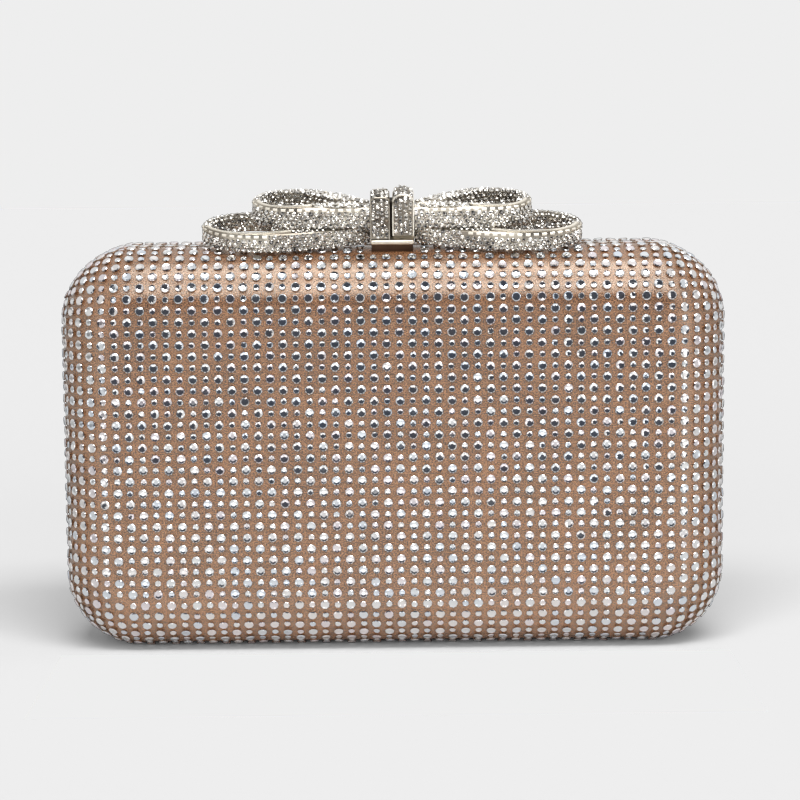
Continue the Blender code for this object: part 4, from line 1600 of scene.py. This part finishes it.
@dataclass(frozen=True)
class Studio:
    """Camera, lamps, floor and background.

    Attributes:
        distance: From the camera to the middle of the case.
        elevation: Height of the camera above that middle, as an angle.
        focal: Focal length in pixels of the picture.
        pixels: Side of the square picture.
        spot: Pixel that shows the middle of the case.
        roll: Turn of the camera about its view.
        backdrop: Brightness of the background.
        light: Strength of the even light.
        reach: From the middle of the floor to its sides.
        well: Depth of the field of the floor that the front half swings through.
        strip: Depth of the floor that is seen in that field.
        beside: Room between the case and the sides of that field.
        below: How far the floor that throws light lies below the one that is seen.
        card: Half width and height of the dark card, and how far it stands before the bag.
    """

    distance: float = 0.75
    elevation: float = math.radians(8.0)
    focal: float = 2442.0
    pixels: float = 800.0
    spot: tuple[float, float] = (393.7, 440.0)
    roll: float = math.radians(-0.5)
    backdrop: float = 0.855
    light: float = 0.2
    reach: float = 3.0
    well: float = 100.0 * MM
    strip: float = 24.0 * MM
    beside: float = 0.5 * MM
    below: float = 1.0 * MM
    card: Triple = (0.245, 0.375, 0.30)

    def build(self) -> None:
        """Sets up the view, the light and the ground."""
        self.camera()
        self.world()
        self.lamps()
        self.floor()
        self.flag()
        bpy.context.scene.view_settings.view_transform = "Standard"

    @staticmethod
    def aimed(place: Array | Triple, ahead: Array | Vector) -> Matrix:
        """The placing of a camera or a lamp that looks along a direction."""
        return Matrix.Translation(place) @ Vector(ahead).to_track_quat("-Z", "Y").to_matrix().to_4x4()

    @staticmethod
    def hide(obj: bpy.types.Object, *rays: str) -> None:
        """Hides a piece from some kinds of rays."""
        for ray in rays:
            setattr(obj, "visible_" + ray, False)

    def camera(self) -> None:
        """Places the camera so that the middle of the case falls on its pixel."""
        middle = np.array([0.0, 0.0, CASE.half_height])
        back = np.array([0.0, -math.cos(self.elevation), math.sin(self.elevation)])
        place = middle + self.distance * back
        right = np.array([1.0, 0.0, 0.0])
        up = np.cross(right, -back)
        half = self.pixels / 2
        aside = (half - self.spot[0]) / self.focal
        above = (self.spot[1] - half) / self.focal
        ahead = unit(-back + aside * right + above * up)
        data = bpy.data.cameras.new("view")
        data.sensor_width = 36.0
        data.lens = self.focal * data.sensor_width / self.pixels
        data.clip_start, data.clip_end = 0.05, 20.0
        camera = bpy.data.objects.new("view", data)
        camera.matrix_world = self.aimed(place, ahead) @ Matrix.Rotation(self.roll, 4, "Z")
        bpy.context.scene.collection.objects.link(camera)
        bpy.context.scene.camera = camera

    def world(self) -> None:
        """Lights evenly, and shows the pale background to the eye, to mirrors and through glass."""
        world = bpy.data.worlds.new("room")
        world.use_nodes = True
        tree = world.node_tree
        light = tree.nodes["Background"]
        light.inputs["Color"].default_value = (1.0, 1.0, 1.0, 1.0)
        light.inputs["Strength"].default_value = self.light
        shown = tree.nodes.new("ShaderNodeBackground")
        shown.inputs["Color"].default_value = (self.backdrop,) * 3 + (1.0,)
        path = tree.nodes.new("ShaderNodeLightPath")
        seen = path.outputs["Is Camera Ray"]
        for ray in ("Is Glossy Ray", "Is Transmission Ray"):
            either = tree.nodes.new("ShaderNodeMath")
            either.operation = "MAXIMUM"
            tree.links.new(seen, either.inputs[0])
            tree.links.new(path.outputs[ray], either.inputs[1])
            seen = either.outputs[0]
        mix = tree.nodes.new("ShaderNodeMixShader")
        for number, source in enumerate((seen, light.outputs[0], shown.outputs[0])):
            tree.links.new(source, mix.inputs[number])
        tree.links.new(mix.outputs[0], tree.nodes["World Output"].inputs["Surface"])
        bpy.context.scene.world = world

    def lamp(self, name: str, place: Triple, size: tuple[float, float], power: float) -> None:
        """Adds a soft box that looks at the middle of the case.

        Args:
            name: Its name.
            place: Where it hangs.
            size: Its width and height.
            power: Its power in watts.
        """
        data = bpy.data.lights.new(name, "AREA")
        data.shape = "RECTANGLE"
        data.size, data.size_y = size
        data.energy = power
        obj = bpy.data.objects.new(name, data)
        middle = Vector((0.0, 0.0, CASE.half_height))
        obj.matrix_world = self.aimed(place, middle - Vector(place))
        self.hide(obj, "camera")
        bpy.context.scene.collection.objects.link(obj)

    def lamps(self) -> None:
        """Hangs a soft box over the front, a wide fill behind the camera and a faint box overhead.

        A low strip before the bag stands for the light that a white table throws back.
        """
        self.lamp("front_box", place=(0.08, -0.43, 0.73), size=(0.7, 0.27), power=4.8)
        self.lamp("fill_box", place=(0.1, -1.2, 0.35), size=(2.0, 0.8), power=8.2)
        self.lamp("top_box", place=(0.2, 0.1, 0.95), size=(1.0, 0.9), power=0.8)
        self.lamp("floor_bounce", place=(0.0, -0.16, 0.015), size=(0.5, 0.06), power=0.075)

    @staticmethod
    def dull(name: str, scale: float, low: Colour, high: Colour) -> bpy.types.Material:
        """A dull finish with a faint grain.

        Args:
            name: Name of the material.
            scale: Cells of the grain for each metre.
            low: Colour in the hollows of the grain.
            high: Colour on its tops.

        Returns:
            The material.
        """
        graph = Graph(name)
        grain = graph.noise(graph.place(), scale)
        colour = graph.ramp(grain, [(0.3, low), (0.7, high)])
        return graph.principled({"Base Color": colour, "Roughness": 0.9})

    def floor(self) -> None:
        """Lays the ground twice: once as it is seen, with the shadow on it, and once as it throws light.

        The front half swings through the field before the bag when it opens, so what lies there goes
        down with it. Of that field only a strip under the bag is seen, for the shadow at its foot.
        """
        for ahead, swings in ((self.well, False), (self.strip, True)):
            seen = self.ground("ground", 0.0, ahead, swings)
            seen.is_shadow_catcher = True
            self.hide(seen, "diffuse", "glossy", "shadow")
        for swings in (False, True):
            lit = self.ground("ground_light", -self.below, self.well, swings)
            self.hide(lit, "camera", "shadow")

    def ground(self, name: str, level: float, ahead: float, swings: bool) -> bpy.types.Object:
        """A wide pale floor of three by three fields, of which the middle one lies before the bag.

        Args:
            name: Its name.
            level: Its height.
            ahead: How far the middle field reaches to the front.
            swings: Whether this is the middle field, which rides on the front half, or the other eight.

        Returns:
            The floor.
        """
        aside = CASE.half_width + self.beside
        x, y = [-self.reach, -aside, aside, self.reach], [-self.reach, -ahead, 0.0, self.reach]
        lines = np.meshgrid(x, y)
        points = np.column_stack([line.reshape(-1) for line in lines] + [np.full(lines[0].size, level)])
        first = np.array([5] if swings else [0, 1, 2, 4, 6, 8, 9, 10])
        fields = first[:, None] + np.array([0, 1, 5, 4])
        material = self.dull(name, 40.0, (self.backdrop - 0.005,) * 3, (self.backdrop + 0.005,) * 3)
        shape = Shape(points, fields.reshape(-1), np.full(len(fields), 4))
        obj = shape.piece(name + ("_before" if swings else ""), material, smooth=False)
        if swings:
            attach(obj, "front_half")
        return obj

    def flag(self) -> None:
        """Stands a dark card in front, which only the mirrors of the stones see."""
        half, height, away = self.card
        corners = np.array([[-half, 0.0], [half, 0.0], [half, height], [-half, height]])
        shape = Shape(np.insert(corners, 1, -away, axis=1), np.arange(4), np.array([4]))
        material = self.dull("dark_card", 60.0, (0.06, 0.072, 0.105), (0.095, 0.112, 0.152))
        obj = shape.piece("dark_card", material, smooth=False)
        self.hide(obj, "camera", "diffuse", "shadow", "transmission")


def main() -> None:
    """Builds the bag and its surroundings."""
    logging.basicConfig(level=logging.INFO, format="%(name)s %(message)s")
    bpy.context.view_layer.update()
    for side in Side:
        CaseHalf(side).build()
    Bow().build()
    Metalwork().build()
    Studio().build()


if __name__ == "__main__":
    main()
